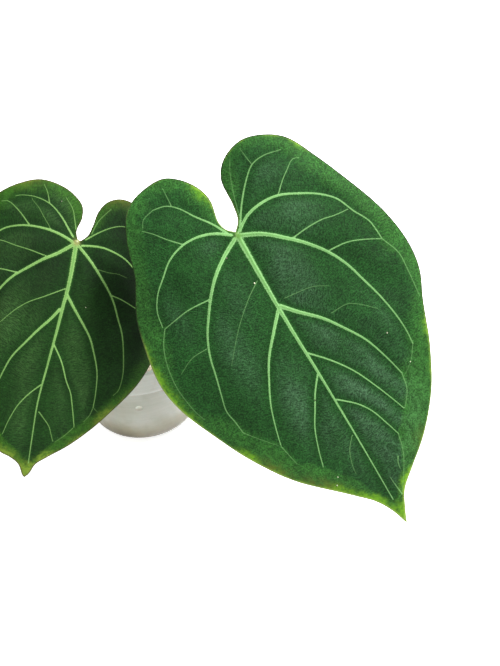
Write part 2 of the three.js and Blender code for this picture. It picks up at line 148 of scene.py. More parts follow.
# A palette's colours are 0..255 display values, and "grain" is how strong its fine grain is.
# A vein is (first width, last width, first glow, last glow, line). Glow is how pale the vein is.
# A soft spot is (u, v, half length, half width, strength). "sheen" holds the grey spots of painted sheen,
# "dim" the spots of painted shade and "dark_brim" those where the thin brim is darkened as painted shade.
# A spot along the margin is (u, v, half length, depth from the margin, strength). "patches" holds the
# yellowed ones and "scorched" the brownish ones.
# "zone_share" is how much brighter green shows outside the line of the veins' ends, left and right.
LEAVES = {
    "right": {
        "palette": {
            "deep": (25, 65, 24),
            "painted_sheen": (54, 84, 57),
            "zone": (50, 99, 38),
            "yellow": (104, 156, 32),
            "brim": (140, 160, 88),
            "heart": (96, 140, 62),
            "vein_low": (100, 154, 84),
            "vein_high": (158, 208, 138),
            "edge": (150, 176, 74),
            "grain": 0.46,
        },
        "junction": (74, -60, 188),
        "foot_angle": -15,
        "heading": -47,
        "dip": 42,
        "roll": -33,
        "length": 166,
        "half_width": 80,
        "arch": 6,
        "vee": 0.1,
        "vee_softness": 6,
        "droop": (13, 13),
        "wave": 1.4,
        "waves": 7,
        "wave_phase": 0.6,
        "left_margin": [
            (-2, 0), (-5.7, -3.6), (-10.7, -4.9), (-22.1, -3), (-30, -4.6), (-38.6, -10), (-44.6, -17.9),
            (-44.8, -27.9), (-41.8, -37.5), (-36.4, -43.6), (-25, -49.3), (-7.9, -54.6), (-1.1, -58.6),
            (10, -64.6), (24.3, -68.1), (45, -70.4), (61.4, -67.5), (79.3, -60), (98.6, -49.8),
            (119.6, -35.7), (139.6, -15.7), (148.2, -7.1), (156.4, -2.5), (165.7, 0.5),
        ],
        "right_margin": [
            (-2, 0), (-6.4, 3.9), (-14.3, 5.7), (-28.6, 7.1), (-36.1, 12.9), (-39.9, 24.3), (-37.1, 35),
            (-30, 45), (-15, 52.9), (4.3, 60.4), (27.1, 67.5), (45.7, 70), (58.6, 68.2), (73.2, 61.1),
            (93.6, 53.2), (112.9, 43.6), (129.3, 30), (140.4, 16.8), (148.9, 7.9), (158.6, 3.2),
            (165.7, 0.5),
        ],
        "veins": [
            (3.0, 0.5, 1.0, 0.7, [(0, 0), (25, -0.5), (50, -0.6), (75, 0), (95, 0.3), (120, 0.5),
                (151, 0.4)]),
            (2.5, 0.6, 1.0, 0.5, [(0, 0), (5.4, 10.4), (12.9, 19.3), (20.7, 27.1), (30, 33.9),
                (40, 38.6), (49.3, 41.4), (60, 44.3), (70.7, 46.1), (80.7, 46.8), (88, 46.4)]),
            (0.7, 0.5, 0.7, 0.4, [(14.8, 22.5), (14.1, 31), (14.3, 39.3), (15.6, 45), (16.3, 52.1)]),
            (0.7, 0.5, 0.7, 0.4, [(28.9, 34.3), (29.9, 43.6), (32.9, 51.4), (37, 59.3)]),
            (0.5, 0.5, 0.35, 0.2, [(37, 59.3), (47.1, 62.9), (56.4, 62.5), (70, 61)]),
            (1.7, 0.6, 1.0, 0.5, [(-1.8, 2.1), (-6.1, 9.3), (-7.7, 19.3), (-6.6, 27.1), (-3, 35),
                (2.1, 43.6), (8.9, 50.4), (18.6, 54.3), (26.4, 58.2), (37, 59.3)]),
            (0.6, 0.4, 0.6, 0.3, [(-7.5, 27.5), (-11.8, 32.1), (-15, 36.4), (-18.7, 42.1), (-17.7, 45)]),
            (1.1, 0.5, 0.9, 0.3, [(-3, 3), (-12.1, 9.3), (-20.4, 16.4), (-26.4, 23.6), (-27.4, 30.7),
                (-25.7, 39.3)]),
            (0.4, 0.4, 0.4, 0.2, [(-26.4, 23.6), (-30.7, 22.9), (-36.4, 22.5)]),
            (0.5, 0.4, 0.3, 0.2, [(-8, 5.5), (-20, 9), (-30, 13), (-35, 16)]),
            (2.2, 0.6, 1.0, 0.6, [(40.4, 0.7), (46.8, 6.4), (55.4, 15), (65.4, 22.1), (75, 27.9),
                (87.1, 32.1), (97.9, 34.9)]),
            (0.5, 0.5, 0.4, 0.2, [(97.9, 34.9), (105.7, 33.2), (113, 28)]),
            (0.9, 0.5, 0.9, 0.6, [(66.4, 0.4), (75.4, 8.6), (85.7, 15.7), (96.4, 20.7), (107.1, 25),
                (112.9, 27.1)]),
            (0.8, 0.5, 0.9, 0.6, [(93.2, 1.4), (99.6, 8.6), (106.4, 13.2), (114.3, 16.1),
                (122.5, 18.7)]),
            (0.5, 0.4, 0.3, 0.2, [(122.5, 18.7), (130, 16.8), (137.1, 13.6), (150.7, 5.4)]),
            (0.4, 0.4, 0.3, 0.15, [(37.9, 4.3), (38.7, 11.4), (39.9, 18.6), (43.2, 25)]),
            (0.4, 0.4, 0.3, 0.15, [(55.4, 20), (55.4, 28.6), (57.9, 32.9), (64.6, 40)]),
            (2.2, 0.5, 1.0, 0.4, [(0.7, -2.1), (5.4, -10.7), (11.8, -19.3), (19.3, -26.4),
                (26.8, -32.1), (35.7, -37.9), (44.3, -41.4), (54.3, -43.9), (63.6, -46.4),
                (71.4, -48.2), (77.9, -47.1), (84.3, -46.4)]),
            (0.7, 0.5, 0.7, 0.4, [(20, -27.9), (19.3, -39.3), (20.1, -46.4), (21.3, -54.3)]),
            (0.5, 0.5, 0.35, 0.2, [(21.3, -54.3), (27.1, -58.2), (35, -61.4), (49.3, -63.4),
                (63.6, -61.8), (69.3, -60)]),
            (0.4, 0.4, 0.35, 0.15, [(40, -40), (40.4, -49.3), (44.3, -57.9)]),
            (1.6, 0.5, 1.0, 0.5, [(-2.1, -2.9), (-7, -10), (-9.6, -18.6), (-9.5, -26.4), (-6.4, -35),
                (-0.7, -42.1), (5, -48.6), (12.1, -53.2), (20, -54.8)]),
            (0.6, 0.4, 0.6, 0.3, [(-10.4, -25.7), (-15.7, -30.7), (-22.1, -35.7), (-26, -39.6)]),
            (1.2, 0.5, 0.9, 0.4, [(-4, -4), (-10.7, -7.5), (-19.3, -13.6), (-27.1, -18.6),
                (-31.3, -23.6), (-32.7, -30)]),
            (0.5, 0.4, 0.3, 0.2, [(-32.7, -30), (-30.7, -36.4), (-27, -38.6)]),
            (0.4, 0.4, 0.4, 0.2, [(-30.4, -20.9), (-33.6, -20.7), (-40, -20.4)]),
            (1.8, 0.5, 1.0, 0.6, [(41.4, -1.4), (49.3, -8.6), (59.3, -17.1), (69.3, -22.9),
                (79.6, -27.9), (89.3, -31.1), (99.3, -33.7)]),
            (0.5, 0.4, 0.35, 0.2, [(99.3, -33.7), (106.4, -32.3), (110.7, -31.4)]),
            (0.9, 0.5, 0.9, 0.6, [(77.9, -0.7), (84.3, -5.7), (92.1, -10.4), (100, -15),
                (110.7, -18.9), (118.9, -21.1)]),
            (0.4, 0.4, 0.35, 0.2, [(112.5, -1.4), (117.9, -5.7), (126.4, -8.6), (130, -8.9)]),
            (0.4, 0.4, 0.35, 0.15, [(24, -3), (28.6, -10), (36.4, -19.3), (42.9, -25.7), (52.9, -34.3)]),
            (0.6, 0.4, 0.7, 0.3, [(150.4, 5.6), (145, 5), (140, 4.6)]),
            (0.5, 0.4, 0.6, 0.3, [(132, 13), (135, 11.4), (138, 11)]),
            (0.4, 0.3, 0.3, 0.1, [(84.3, -46.4), (93, -39), (99.3, -33.7)]),
            (0.4, 0.3, 0.35, 0.15, [(88, 46.4), (94, 42), (99, 36.5)]),
        ],
        # Crumbs of mix on the blade: (u, v, radius, paleness)
        "specks": [
            (6.8, -10.3, 0.5, 0.15), (24.3, -4.7, 0.5, 1), (77, 38, 0.4, 0.7), (95, 41, 0.35, 0.9),
            (88, -8, 0.4, 0), (127, -17.5, 0.35, 0.8), (131, -20, 0.4, 0.7),
        ],
        "patches": [
            (-29, -5, 7, 6, 0.6), (-22, -4, 5, 5, 0.4), (-44, -22, 5, 3, 0.15), (-24, 48, 6, 4, 0.35),
            (-34, 39, 5, 3, 0.25), (-38, 16, 5, 3, 0.2), (-40, 25, 4, 2.5, 0.2), (30, -69, 10, 4, 0.4),
            (42, -70, 10, 5, 0.65), (53, -69, 10, 5, 0.65), (65, -66, 9, 4, 0.5), (78, -61, 10, 3, 0.2),
            (97, -51, 8, 4, 0.8), (109, -43, 9, 4, 0.45), (122, -33, 8, 3, 0.3), (135, -21, 9, 5, 0.85),
            (147, -9, 9, 4, 1.1), (84, 57, 7, 4, 0.45), (92, 54, 7, 3, 0.3), (102, 48, 7, 3, 0.3),
            (111, 44, 6, 3, 0.15), (131, 28, 6, 5, 0.2), (146, 11, 8, 4, 0.8), (162, 1, 9, 8, 0.9),
        ],
        "scorched": [
            (109, -43, 9, 5, 0.8), (127, -27, 9, 5, 0.85), (130, 28, 7, 6, 0.25), (97, -51, 6, 3, 0.3),
        ],
        # Soft spots where the brim is dark with painted shade
        "dark_brim": [(-10, -55, 45, 25, 1.0), (20, 52, 70, 30, 1.0), (-38, 10, 20, 60, 1.0)],
        # Soft spots of painted sheen
        "sheen": [
            (38, 13, 42, 9, 0.75), (105, 16, 34, 22, 0.95), (4, 30, 12, 10, 0.55), (88, -15, 26, 8, 0.7),
            (48, -29, 22, 8, 0.5), (26, -16, 16, 6, 0.3), (70, 44, 16, 6, 0.4), (-20, 26, 9, 9, 0.4),
            (-4, -14, 8, 6, 0.4), (18, -46, 14, 5, 0.3), (140, 4, 12, 5, 0.5),
        ],
        "zone_share": (0.55, 0.54),
        # Soft spots of painted shade
        "dim": [
            (30, 58, 40, 8, 0.16), (12, -60, 14, 9, 0.16), (-30, -45, 10, 8, 0.12), (32, 15, 22, 7, 0.13),
        ],
        # The line that joins the veins' ends: greyer velvet inside it, brighter green outside
        "collective": [
            (-3, -1), (-10, -5.8), (-20, -7), (-28, -10), (-36, -15), (-40, -21), (-39.5, -28), (-36, -34.5),
            (-30, -40), (-20, -44.5), (-6, -48.5), (2, -54), (12, -57.5), (21.5, -57), (30.7, -59.6),
            (42, -62.9), (55.7, -63.2), (63.6, -61.8), (70, -58.5), (78, -50), (86, -46), (93, -40),
            (100, -34), (110.7, -30), (119, -21.5), (127, -15), (133, -10.5), (143, -6), (149, -3),
            (152, 0.4), (150, 3.8), (146, 6.6), (140, 11), (133, 15), (123, 18.8), (113, 27.4),
            (106, 33), (98, 36), (92, 43), (86, 47), (78, 50), (73, 57), (66, 61), (56.4, 62.5),
            (47.1, 62.9), (42, 61.5), (35, 59.8), (22, 57.5), (8, 54.5), (-6, 49), (-18, 44.5),
            (-27, 40), (-33, 32), (-36, 24), (-34, 17), (-26, 12), (-16, 8.2), (-7, 4.6), (-3, 1),
        ],
    },
    "left": {
        # Greens darker than the right leaf's: partly its own colour, partly painted shade for a lower,
        # shaded leaf
        "palette": {
            "deep": (20, 52, 14),
            "painted_sheen": (46, 76, 35),
            "zone": (46, 88, 20),
            "yellow": (104, 130, 40),
            "brim": (66, 60, 30),
            "heart": (132, 128, 76),
            "vein_low": (94, 138, 66),
            "vein_high": (146, 184, 110),
            "edge": (112, 118, 50),
            "grain": 0.27,
        },
        "junction": (-14, -36, 168),
        "foot_angle": -165,
        "heading": -109,
        "dip": 48,
        "roll": 28,
        "length": 130,
        "half_width": 64,
        "arch": 5,
        "vee": 0.1,
        "vee_softness": 5,
        "droop": (9, 20),
        "wave": 1.2,
        "waves": 7,
        "wave_phase": 2,
        "left_margin": [
            (-0.3, 0.8), (-6.3, -1.3), (-13.8, 0), (-20.6, -1.3), (-25.6, -6.9), (-28.4, -13.8),
            (-28.9, -24.4), (-24.7, -33.8), (-17.1, -43.3), (-6, -50.5), (12, -56), (35, -58), (55, -55.5),
            (75, -48), (92, -38.5), (106, -28), (114, -21.5), (118.3, -15.4), (120.3, -9.7), (123.5, -5),
            (129.5, -1.8), (130.3, -0.8),
        ],
        "right_margin": [
            (-0.3, 0.8), (-5, 5), (-11.3, 6.6), (-19.4, 7.8), (-25.9, 11.3), (-29.3, 17), (-29.5, 22.5),
            (-26, 33), (-19, 41.5), (-8, 48.5), (10, 53.5), (35, 56), (50, 55), (57.7, 53.3), (70, 48.3),
            (85.3, 38.3), (99, 28.3), (109.7, 18.3), (117.7, 8.3), (122.3, 3.3), (128, 1), (130.3, -0.8),
        ],
        "veins": [
            (2.6, 0.5, 1.0, 0.6, [(0, 0), (20, 0.9), (35.7, 0.4), (48, 0), (68, -1), (88, -1.9),
                (108, -1), (122, -0.2)]),
            (1.6, 0.5, 1.0, 0.3, [(1, 1), (7.5, 8.8), (13.8, 15), (20.9, 21.3), (26.9, 25.6),
                (35.6, 30), (43.7, 34), (55.7, 37.3), (66.3, 39.1), (75, 38.3), (77.7, 36.3)]),
            (0.6, 0.5, 0.7, 0.4, [(23.8, 24.4), (24.7, 28.8), (26.3, 33.8), (27.8, 37.8), (29, 45)]),
            (0.4, 0.4, 0.35, 0.15, [(11.6, 14.4), (12, 20), (11.6, 25), (12.5, 30)]),
            (1.2, 0.5, 1.0, 0.5, [(0.9, 3.1), (0, 7.5), (-0.6, 12.5), (-0.3, 16.9), (1.8, 25),
                (4.1, 29.4), (12, 38), (24, 45)]),
            (0.8, 0.4, 0.8, 0.4, [(-2.8, 4.4), (-8.4, 10.6), (-12.8, 16.9), (-14.8, 22.5), (-14, 31)]),
            (0.5, 0.4, 0.5, 0.3, [(-6.9, 6.9), (-13.1, 8.4), (-17.5, 10.6), (-22.5, 14)]),
            (1.6, 0.5, 1.0, 0.6, [(28, 0.8), (35.6, 6.9), (43.7, 13.7), (49, 17.7), (54.3, 20.3),
                (66.3, 25), (78.3, 26.7), (86.3, 27)]),
            (0.5, 0.4, 0.4, 0.2, [(86.3, 27), (91, 26), (95, 23.7)]),
            (0.4, 0.4, 0.4, 0.2, [(86.3, 27), (88.3, 29.7)]),
            (0.8, 0.5, 0.9, 0.6, [(56.3, 0.3), (64.3, 5.7), (74.3, 10.3), (80.3, 13.7), (86.3, 15.7),
                (98.7, 19.3)]),
            (0.4, 0.4, 0.35, 0.2, [(98.7, 19.3), (104.3, 15), (108.3, 11)]),
            (0.6, 0.4, 0.6, 0.4, [(93.3, 0), (96.3, 3), (100, 6.3), (103.7, 8), (107.7, 9.7)]),
            (2.0, 0.5, 1.0, 0.5, [(1, -1), (7.8, -8.1), (12.5, -14.4), (18.8, -21.3), (25, -27.5),
                (31.9, -31.9), (46, -38), (62, -42), (74, -42.5)]),
            (0.6, 0.4, 0.7, 0.4, [(10.6, -13.8), (9.3, -22.5), (8.8, -28.8), (7.8, -37.5), (9, -45)]),
            (0.7, 0.4, 0.8, 0.4, [(22.5, -26), (22.5, -34.4), (25, -44)]),
            (1.6, 0.5, 1.0, 0.5, [(0, -1.9), (-2.2, -8.1), (-3.4, -15), (-3.4, -22.5), (-2.4, -28.8),
                (0.3, -35.6), (2.8, -38.8), (12, -46), (25, -51)]),
            (0.7, 0.4, 0.7, 0.4, [(-4, -25.6), (-9.7, -31.9), (-13.3, -38.1), (-12.5, -41.3)]),
            (0.4, 0.4, 0.4, 0.2, [(-4.4, -14.4), (-9.4, -18.8), (-13.8, -22.5), (-16.9, -26.3)]),
            (1.1, 0.4, 0.9, 0.4, [(-3, -2.5), (-7, -6), (-11.6, -10), (-16.9, -16.9), (-18.9, -25),
                (-18, -32.5), (-16.9, -35)]),
            (0.6, 0.4, 0.6, 0.3, [(-17.8, -17.8), (-23.1, -20), (-26.6, -22.5)]),
            (0.7, 0.4, 0.6, 0.3, [(-6.9, -1.6), (-13.1, -3.8), (-17.5, -5.6), (-22.5, -10)]),
            (1.6, 0.5, 1.0, 0.5, [(37, -1), (42.3, -4), (49.7, -9.3), (58.3, -14.7), (66, -19.3),
                (74.3, -22), (90, -25), (97, -24)]),
            (0.6, 0.4, 0.7, 0.4, [(25.6, -0.6), (31.9, -10), (36.3, -16.9), (41.6, -22.5),
                (49.3, -28.3)]),
            (0.7, 0.4, 0.8, 0.5, [(78.7, -2.3), (83.7, -6.7), (91, -11.3), (99.7, -14.3), (107.7, -16)]),
        ],
        "specks": [(33, 12, 0.3, 0.7), (-20, -12, 0.3, 0.5)],
        "patches": [
            (129, -1, 8, 8, 1.1), (111, -24, 9, 5, 0.9), (119, -13, 7, 5, 1.0), (-29, 19, 9, 3, 0.1),
            (62, 52, 12, 3, 0.1), (78, 43, 12, 4, 0.3), (91, 35, 8, 5, 0.7), (106, 22, 8, 4, 0.4),
            (118, 8, 6, 5, 0.8), (-26, -33, 9, 5, 0.3), (-12, -47, 10, 5, 0.12), (-29, -18, 8, 3, 0.15),
        ],
        "scorched": [(-29, 19, 9, 4, 0.7), (92, 33, 6, 4, 0.5), (-27, -30, 8, 4, 0.4)],
        # Soft spots where the brim is dark with painted shade
        "dark_brim": [(40, 52, 60, 26, 1.0)],
        # Soft spots of painted sheen
        "sheen": [
            (-15, -30, 8, 8, 0.4), (-14, -13, 9, 7, 1.0), (-8, -6, 6, 3, 0.6), (6, -28, 12, 8, 0.5),
            (44, -26, 18, 9, 0.9), (60, -12, 22, 6, 0.6), (95, -8, 20, 6, 0.5), (60, 10, 30, 7, 0.6),
            (78, 18, 20, 8, 0.6), (24, -12, 16, 5, 0.2), (-12, 6, 10, 5, 0.5), (-18, -28, 8, 5, 0.6),
        ],
        "zone_share": (0.7, 0.55),
        # Soft spots of painted shade, most of them the right leaf's shadow over this leaf's right half
        "dim": [
            (-12, 15, 12, 9, 0.2), (32, -28, 22, 9, 0.16), (12, 36, 36, 17, 0.75), (42, 46, 24, 14, 0.66),
            (-14, 26, 14, 14, 0.66), (10, 14, 14, 8, 0.5), (14, -14, 26, 22, 0.42), (32, -34, 22, 14, 0.35),
        ],
        "collective": [
            (-3, -0.5), (-9, -2.2), (-16, -4.5), (-22, -9.5), (-25.5, -16), (-25.8, -23), (-22, -30),
            (-16, -36.5), (-8, -43), (8, -49.5), (25, -51), (45, -50), (60, -45), (74, -42), (88, -31),
            (97, -24.5), (108, -16.5), (114.5, -9), (120, -3.5), (124, -0.3), (119, 3.2), (110, 9.8),
            (99, 20), (90, 28.5), (82, 35), (70, 43), (57, 47.5), (40, 50), (22, 48.5), (6, 45),
            (-8, 41), (-17, 34), (-23, 25), (-24.5, 18), (-21, 13), (-13.5, 9), (-6.5, 6), (-3, 1.5),
        ],
    },
}

# Camera and light
PIGMENT = 0.72
CAMERA_PLACE = (80, -310, 349)
CAMERA_PITCH = 42
FOCAL_PIXELS = 600
IMAGE_HEIGHT = 666
SENSOR = 36
KEY_PLACE = (0.55, 0.1, 1.05)
KEY_TARGET = (0.03, -0.06, 0.12)
KEY_SIZE = 0.24
KEY_POWER = 27.5
FLOOR_REACH = 8.0
FLOOR_GLOW = 0.65


# Lines and fields on a leaf


def spline(points, per_span=24):
    """A smooth line through the points, densely sampled (centripetal Catmull-Rom)."""
    points = np.asarray(points, float)
    knots = np.vstack([2 * points[0] - points[1], points, 2 * points[-1] - points[-2]])
    share = np.linspace(0, 1, per_span, endpoint=False)[:, None]
    spans = []
    for i in range(len(points) - 1):
        before, start, end, after = knots[i:i + 4]
        lead = np.linalg.norm(start - before) ** 0.5
        span = np.linalg.norm(end - start) ** 0.5
        tail = np.linalg.norm(after - end) ** 0.5
        leave = ((start - before) / lead - (end - before) / (lead + span) + (end - start) / span) * span
        arrive = ((end - start) / span - (after - start) / (span + tail) + (after - end) / tail) * span
        square = 3 * (end - start) - 2 * leave - arrive
        cube = 2 * (start - end) + leave + arrive
        spans.append(start + leave * share + square * share**2 + cube * share**3)
    spans.append(points[-1:])
    return np.vstack(spans)


def evenly(line, step):
    """The same line, with its points about one step apart."""
    travelled = np.concatenate([[0], np.cumsum(np.linalg.norm(np.diff(line, axis=0), axis=1))])
    count = max(2, int(round(travelled[-1] / step)))
    stations = np.linspace(0, travelled[-1], count + 1)
    return np.stack([np.interp(stations, travelled, line[:, i]) for i in range(line.shape[1])], 1)


def smoothstep(value, low, high):
    share = np.clip((value - low) / (high - low), 0, 1)
    return share * share * (3 - 2 * share)


def blade_height(leaf, u, v):
    """Height of the blade's middle surface over its flat base plane."""
    position = u / leaf["length"]
    arch = 4 * leaf["arch"] * position * (1 - position)
    valley = leaf["vee"] * (np.hypot(v, leaf["vee_softness"]) - leaf["vee_softness"])
    droop = np.where(v < 0, *leaf["droop"]) * (v / leaf["half_width"]) ** 2
    from_middle = u - 0.3 * leaf["length"]
    spread = (from_middle**2 + v**2) / leaf["half_width"] ** 2
    turn = np.arctan2(v, from_middle)
    wave = leaf["wave"] * spread * np.sin(leaf["waves"] * turn + leaf["wave_phase"])
    return arch + valley - droop + wave


def leaf_basis(leaf):
    """Directions along the midrib, to the right and out of the upper face."""
    heading, dip, roll = (math.radians(leaf[name]) for name in ("heading", "dip", "roll"))
    along = Vector((math.cos(heading) * math.cos(dip), math.sin(heading) * math.cos(dip), -math.sin(dip)))
    level = Vector((math.sin(heading), -math.cos(heading), 0))
    upright = -along.cross(level)
    across = upright.cross(along)
    normal = upright * math.cos(roll) + across * math.sin(roll)
    side = normal.cross(along)
    return along, side, normal


def nearest_on(places, line):
    """Distance of each place to the line, and how far along the line that is, from 0 to 1."""
    best = np.full(len(places), 1e9)
    where = np.zeros(len(places))
    for first in range(0, len(places), FIELD_BATCH):
        last = first + FIELD_BATCH
        part = places[first:last]
        start, step = line[:-1], np.diff(line, axis=0)
        length = (step**2).sum(1)
        gap = part[:, None, :] - start[None]
        share = np.clip((gap * step).sum(2) / length, 0, 1)
        distance = np.linalg.norm(gap - share[..., None] * step, axis=2)
        pick = distance.argmin(1)
        rows = np.arange(len(part))
        best[first:last] = distance[rows, pick]
        where[first:last] = (pick + share[rows, pick]) / len(step)
    return best, where


class Veins:
    """Relief and paleness that the veins give to places on a leaf."""

    def __init__(self, leaf, places):
        count = len(places)
        self.ridge = np.zeros(count)
        self.rib = np.zeros(count)
        self.furrow = np.zeros(count)
        self.off_axis = np.full(count, 4.0)
        self.glow = np.zeros(count)
        self.width = np.zeros(count)
        self.nearest_main = np.full(count, 30.0)
        self.along = np.zeros(count)
        for first_width, last_width, first_glow, last_glow, points in leaf["veins"]:
            line = evenly(spline(points), FIELD_STEP)
            self.add(places, first_width, last_width, first_glow, last_glow, line)

    def add(self, places, first_width, last_width, first_glow, last_glow, line):
        reach = 6 * first_width + 14
        in_reach = (places > line.min(0) - reach) & (places < line.max(0) + reach)
        near = np.flatnonzero(np.all(in_reach, axis=1))
        if not len(near):
            return
        distance, share = nearest_on(places[near], line)
        width = last_width + (first_width - last_width) * (1 - share) ** VEIN_TAPER
        glow = last_glow + (first_glow - last_glow) * (1 - share)
        off_axis = 2 * distance / width
        profile = np.exp(-(off_axis**2) * 1.1)
        self.ridge[near] = np.maximum(self.ridge[near], (0.08 + 0.17 * width) * glow * profile)
        rib_profile = np.exp(-((0.75 * off_axis) ** 2))
        self.rib[near] = np.maximum(self.rib[near], (0.12 + 0.42 * width) * glow * rib_profile)
        hollow = np.exp(-((distance / (1.3 * width + 0.9)) ** 2))
        self.furrow[near] = np.maximum(self.furrow[near], 0.12 * width * hollow)
        closer = off_axis < self.off_axis[near]
        self.off_axis[near[closer]] = off_axis[closer]
        self.glow[near[closer]] = glow[closer]
        self.width[near[closer]] = width[closer]
        if first_width >= MAIN_VEIN_WIDTH:
            nearer = distance < self.nearest_main[near]
            self.nearest_main[near[nearer]] = distance[nearer]
            self.along[near[nearer]] = share[nearer] * len(line) * FIELD_STEP + line[0, 0]


def inside_loop(places, loop):
    """Which places lie inside a closed loop."""
    crossings = np.zeros(len(places), int)
    for (u0, v0), (u1, v1) in zip(loop, np.roll(loop, -1, axis=0)):
        spans = (places[:, 1] < v0) != (places[:, 1] < v1)
        if spans.any():
            crossing = u0 + (places[spans, 1] - v0) * (u1 - u0) / (v1 - v0)
            crossings[spans] += places[spans, 0] < crossing
    return crossings % 2 == 1


def beyond_loop(places, loop):
    """Distance outside a closed loop, below zero inside it."""
    distance, _ = nearest_on(places, np.vstack([loop, loop[:1]]))
    return np.where(inside_loop(places, loop), -distance, distance)


# Leaf blades


def thinned(places, spacing, taken=()):
    """The places that keep their distance from each other and from those already taken."""
    cells = {}

    def cell_of(place):
        return int(place[0] // spacing), int(place[1] // spacing)

    def crowded(place):
        column, row = cell_of(place)
        for i in (column - 1, column, column + 1):
            for j in (row - 1, row, row + 1):
                for other in cells.get((i, j), ()):
                    if (other[0] - place[0]) ** 2 + (other[1] - place[1]) ** 2 < spacing**2:
                        return True
        return False

    for place in taken:
        cells.setdefault(cell_of(place), []).append(place)
    kept = []
    for place in places:
        if not crowded(place):
            cells.setdefault(cell_of(place), []).append(place)
            kept.append(place)
    return kept


def vein_rows(leaf):
    """Rows of places along each vein, on its crest, its flanks and its feet."""
    rows = []
    widest_first = sorted(leaf["veins"], reverse=True, key=lambda vein: vein[0])
    for first_width, last_width, _, _, points in widest_first:
        line = evenly(spline(points), VEIN_STEP)
        forward = np.gradient(line, axis=0)
        forward /= np.linalg.norm(forward, axis=1)[:, None]
        across = np.stack([-forward[:, 1], forward[:, 0]], 1)
        share = np.linspace(0, 1, len(line))
        half = 0.5 * (last_width + (first_width - last_width) * (1 - share) ** VEIN_TAPER)
        for offset in VEIN_OFFSETS:
            rows.extend(line + across * (offset * np.maximum(half, SMALLEST_HALF_VEIN))[:, None])
    return rows


def leaf_places(leaf):
    """The margin as a closed loop, and places spread over the blade inside it."""
    right = evenly(spline(leaf["right_margin"]), MARGIN_STEP)
    left = evenly(spline(leaf["left_margin"]), MARGIN_STEP)
    margin = np.vstack([right[:-1], left[::-1][:-1]])
    low, high = margin.min(0), margin.max(0)
    grid = []
    row_step = GRID_STEP * math.sqrt(0.75)
    for row, u in enumerate(np.arange(low[0], high[0], row_step)):
        shift = GRID_STEP / 2 * (row % 2)
        grid.extend((u, v) for v in np.arange(low[1] + shift, high[1], GRID_STEP))
    rows = thinned([tuple(place) for place in vein_rows(leaf)], ROW_SPACING)
    spread = thinned(grid, SPREAD_SPACING, rows)
    inside = np.array(rows + spread)
    return margin, inside[beyond_loop(inside, margin) < -MARGIN_CLEARANCE]


def loop_edges(first, count):
    """Edges of a closed loop of places whose indices start at the first."""
    return [(first + i, first + (i + 1) % count) for i in range(count)]


def triangles_over(places, edges):
    """Triangles over the places that keep the given edges, all facing up."""
    vectors = [Vector(place) for place in places]
    _, _, faces, origins, _, _ = delaunay_2d_cdt(vectors, edges, [], 1, 1e-6)
    first_of = [origin[0] for origin in origins]
    triangles = np.array([[first_of[i] for i in face] for face in faces])
    a, b, c = (places[triangles[:, i]] for i in range(3))
    area = (b[:, 0] - a[:, 0]) * (c[:, 1] - a[:, 1]) - (b[:, 1] - a[:, 1]) * (c[:, 0] - a[:, 0])
    triangles[area < 0] = triangles[area < 0][:, ::-1]
    return triangles[np.abs(area) > 1e-9]


def blobs(spots, places):
    """The strongest of some soft spots at each place."""
    total = np.zeros(len(places))
    for u, v, half_length, half_width, strength in spots:
        squared = ((places[:, 0] - u) / half_length) ** 2 + ((places[:, 1] - v) / half_width) ** 2
        total = np.maximum(total, strength * np.exp(-squared))
    return total


def margin_spots(spots, places, to_margin):
    """The strongest of some soft spots that hug the margin, at each place."""
    total = np.zeros(len(places))
    for u, v, half_length, depth, strength in spots:
        away = (places[:, 0] - u) ** 2 + (places[:, 1] - v) ** 2
        squared = away / half_length**2 + (to_margin / depth) ** 2
        total = np.maximum(total, strength * np.exp(-squared))
    return total


def add_number(mesh, name, values):
    attribute = mesh.attributes.new(name, "FLOAT", "POINT")
    attribute.data.foreach_set("value", np.asarray(values, dtype=np.float32))


def band(first, second, sides, flipped=False):
    """Four-sided faces between two rings of vertices, given by the index that each ring starts at."""
    faces = []
    for i in range(sides):
        j = (i + 1) % sides
        face = [first + i, first + j, second + j, second + i]
        faces.append([face[0], face[3], face[2], face[1]] if flipped else face)
    return faces


def new_piece(name, vertices, faces, materials, node, face_materials=None):
    """A smooth mesh object, in millimetres, that stands for a node of the frame."""
    mesh = bpy.data.meshes.new(name)
    mesh.from_pydata((np.asarray(vertices) * MM).tolist(), [], faces)
    for material in materials:
        mesh.materials.append(material)
    if face_materials is not None:
        mesh.polygons.foreach_set("material_index", np.asarray(face_materials, dtype=np.int32))
    mesh.shade_smooth()
    mesh.validate()
    piece = bpy.data.objects.new(name, mesh)
    bpy.context.scene.collection.objects.link(piece)
    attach(piece, "root")
    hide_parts(node)
    return piece


def leaf_numbers(leaf, places, veins, to_margin, beyond):
    """What the velvet's material reads at each place on the blade."""
    u, v = places[:, 0], places[:, 1]
    to_right = smoothstep(v, -12, 12)
    left_share, right_share = leaf["zone_share"]
    softness = 3.6 - 2.6 * smoothstep(u, 0.5 * leaf["length"], 0.75 * leaf["length"])
    return {
        "off_axis": veins.off_axis,
        "glow": veins.glow,
        "stout": np.clip(veins.width / WIDEST_VEIN, 0, 1),
        "to_margin": to_margin,
        "beyond": beyond / softness,
        "along": veins.along,
        "aside": veins.nearest_main,
        "zone_share": left_share * (1 - to_right) + right_share * to_right,
        # Painted shade: how much the soft spots darken each place
        "painted_shade": blobs(leaf["dim"], places),
        # Painted sheen: grey spots between the veins
        "painted_sheen": smoothstep(veins.nearest_main, 0.5, 6.0) * blobs(leaf["sheen"], places),
        "patch": margin_spots(leaf["patches"], places, to_margin),
        "scorched": margin_spots(leaf["scorched"], places, to_margin),
        # Painted shade on the thin brim
        "dark_brim": np.minimum(1, 1.6 * blobs(leaf["dark_brim"], places)),
        "heart": np.exp(-((u**2 + v**2) / HEART_RADIUS**2)),
    }


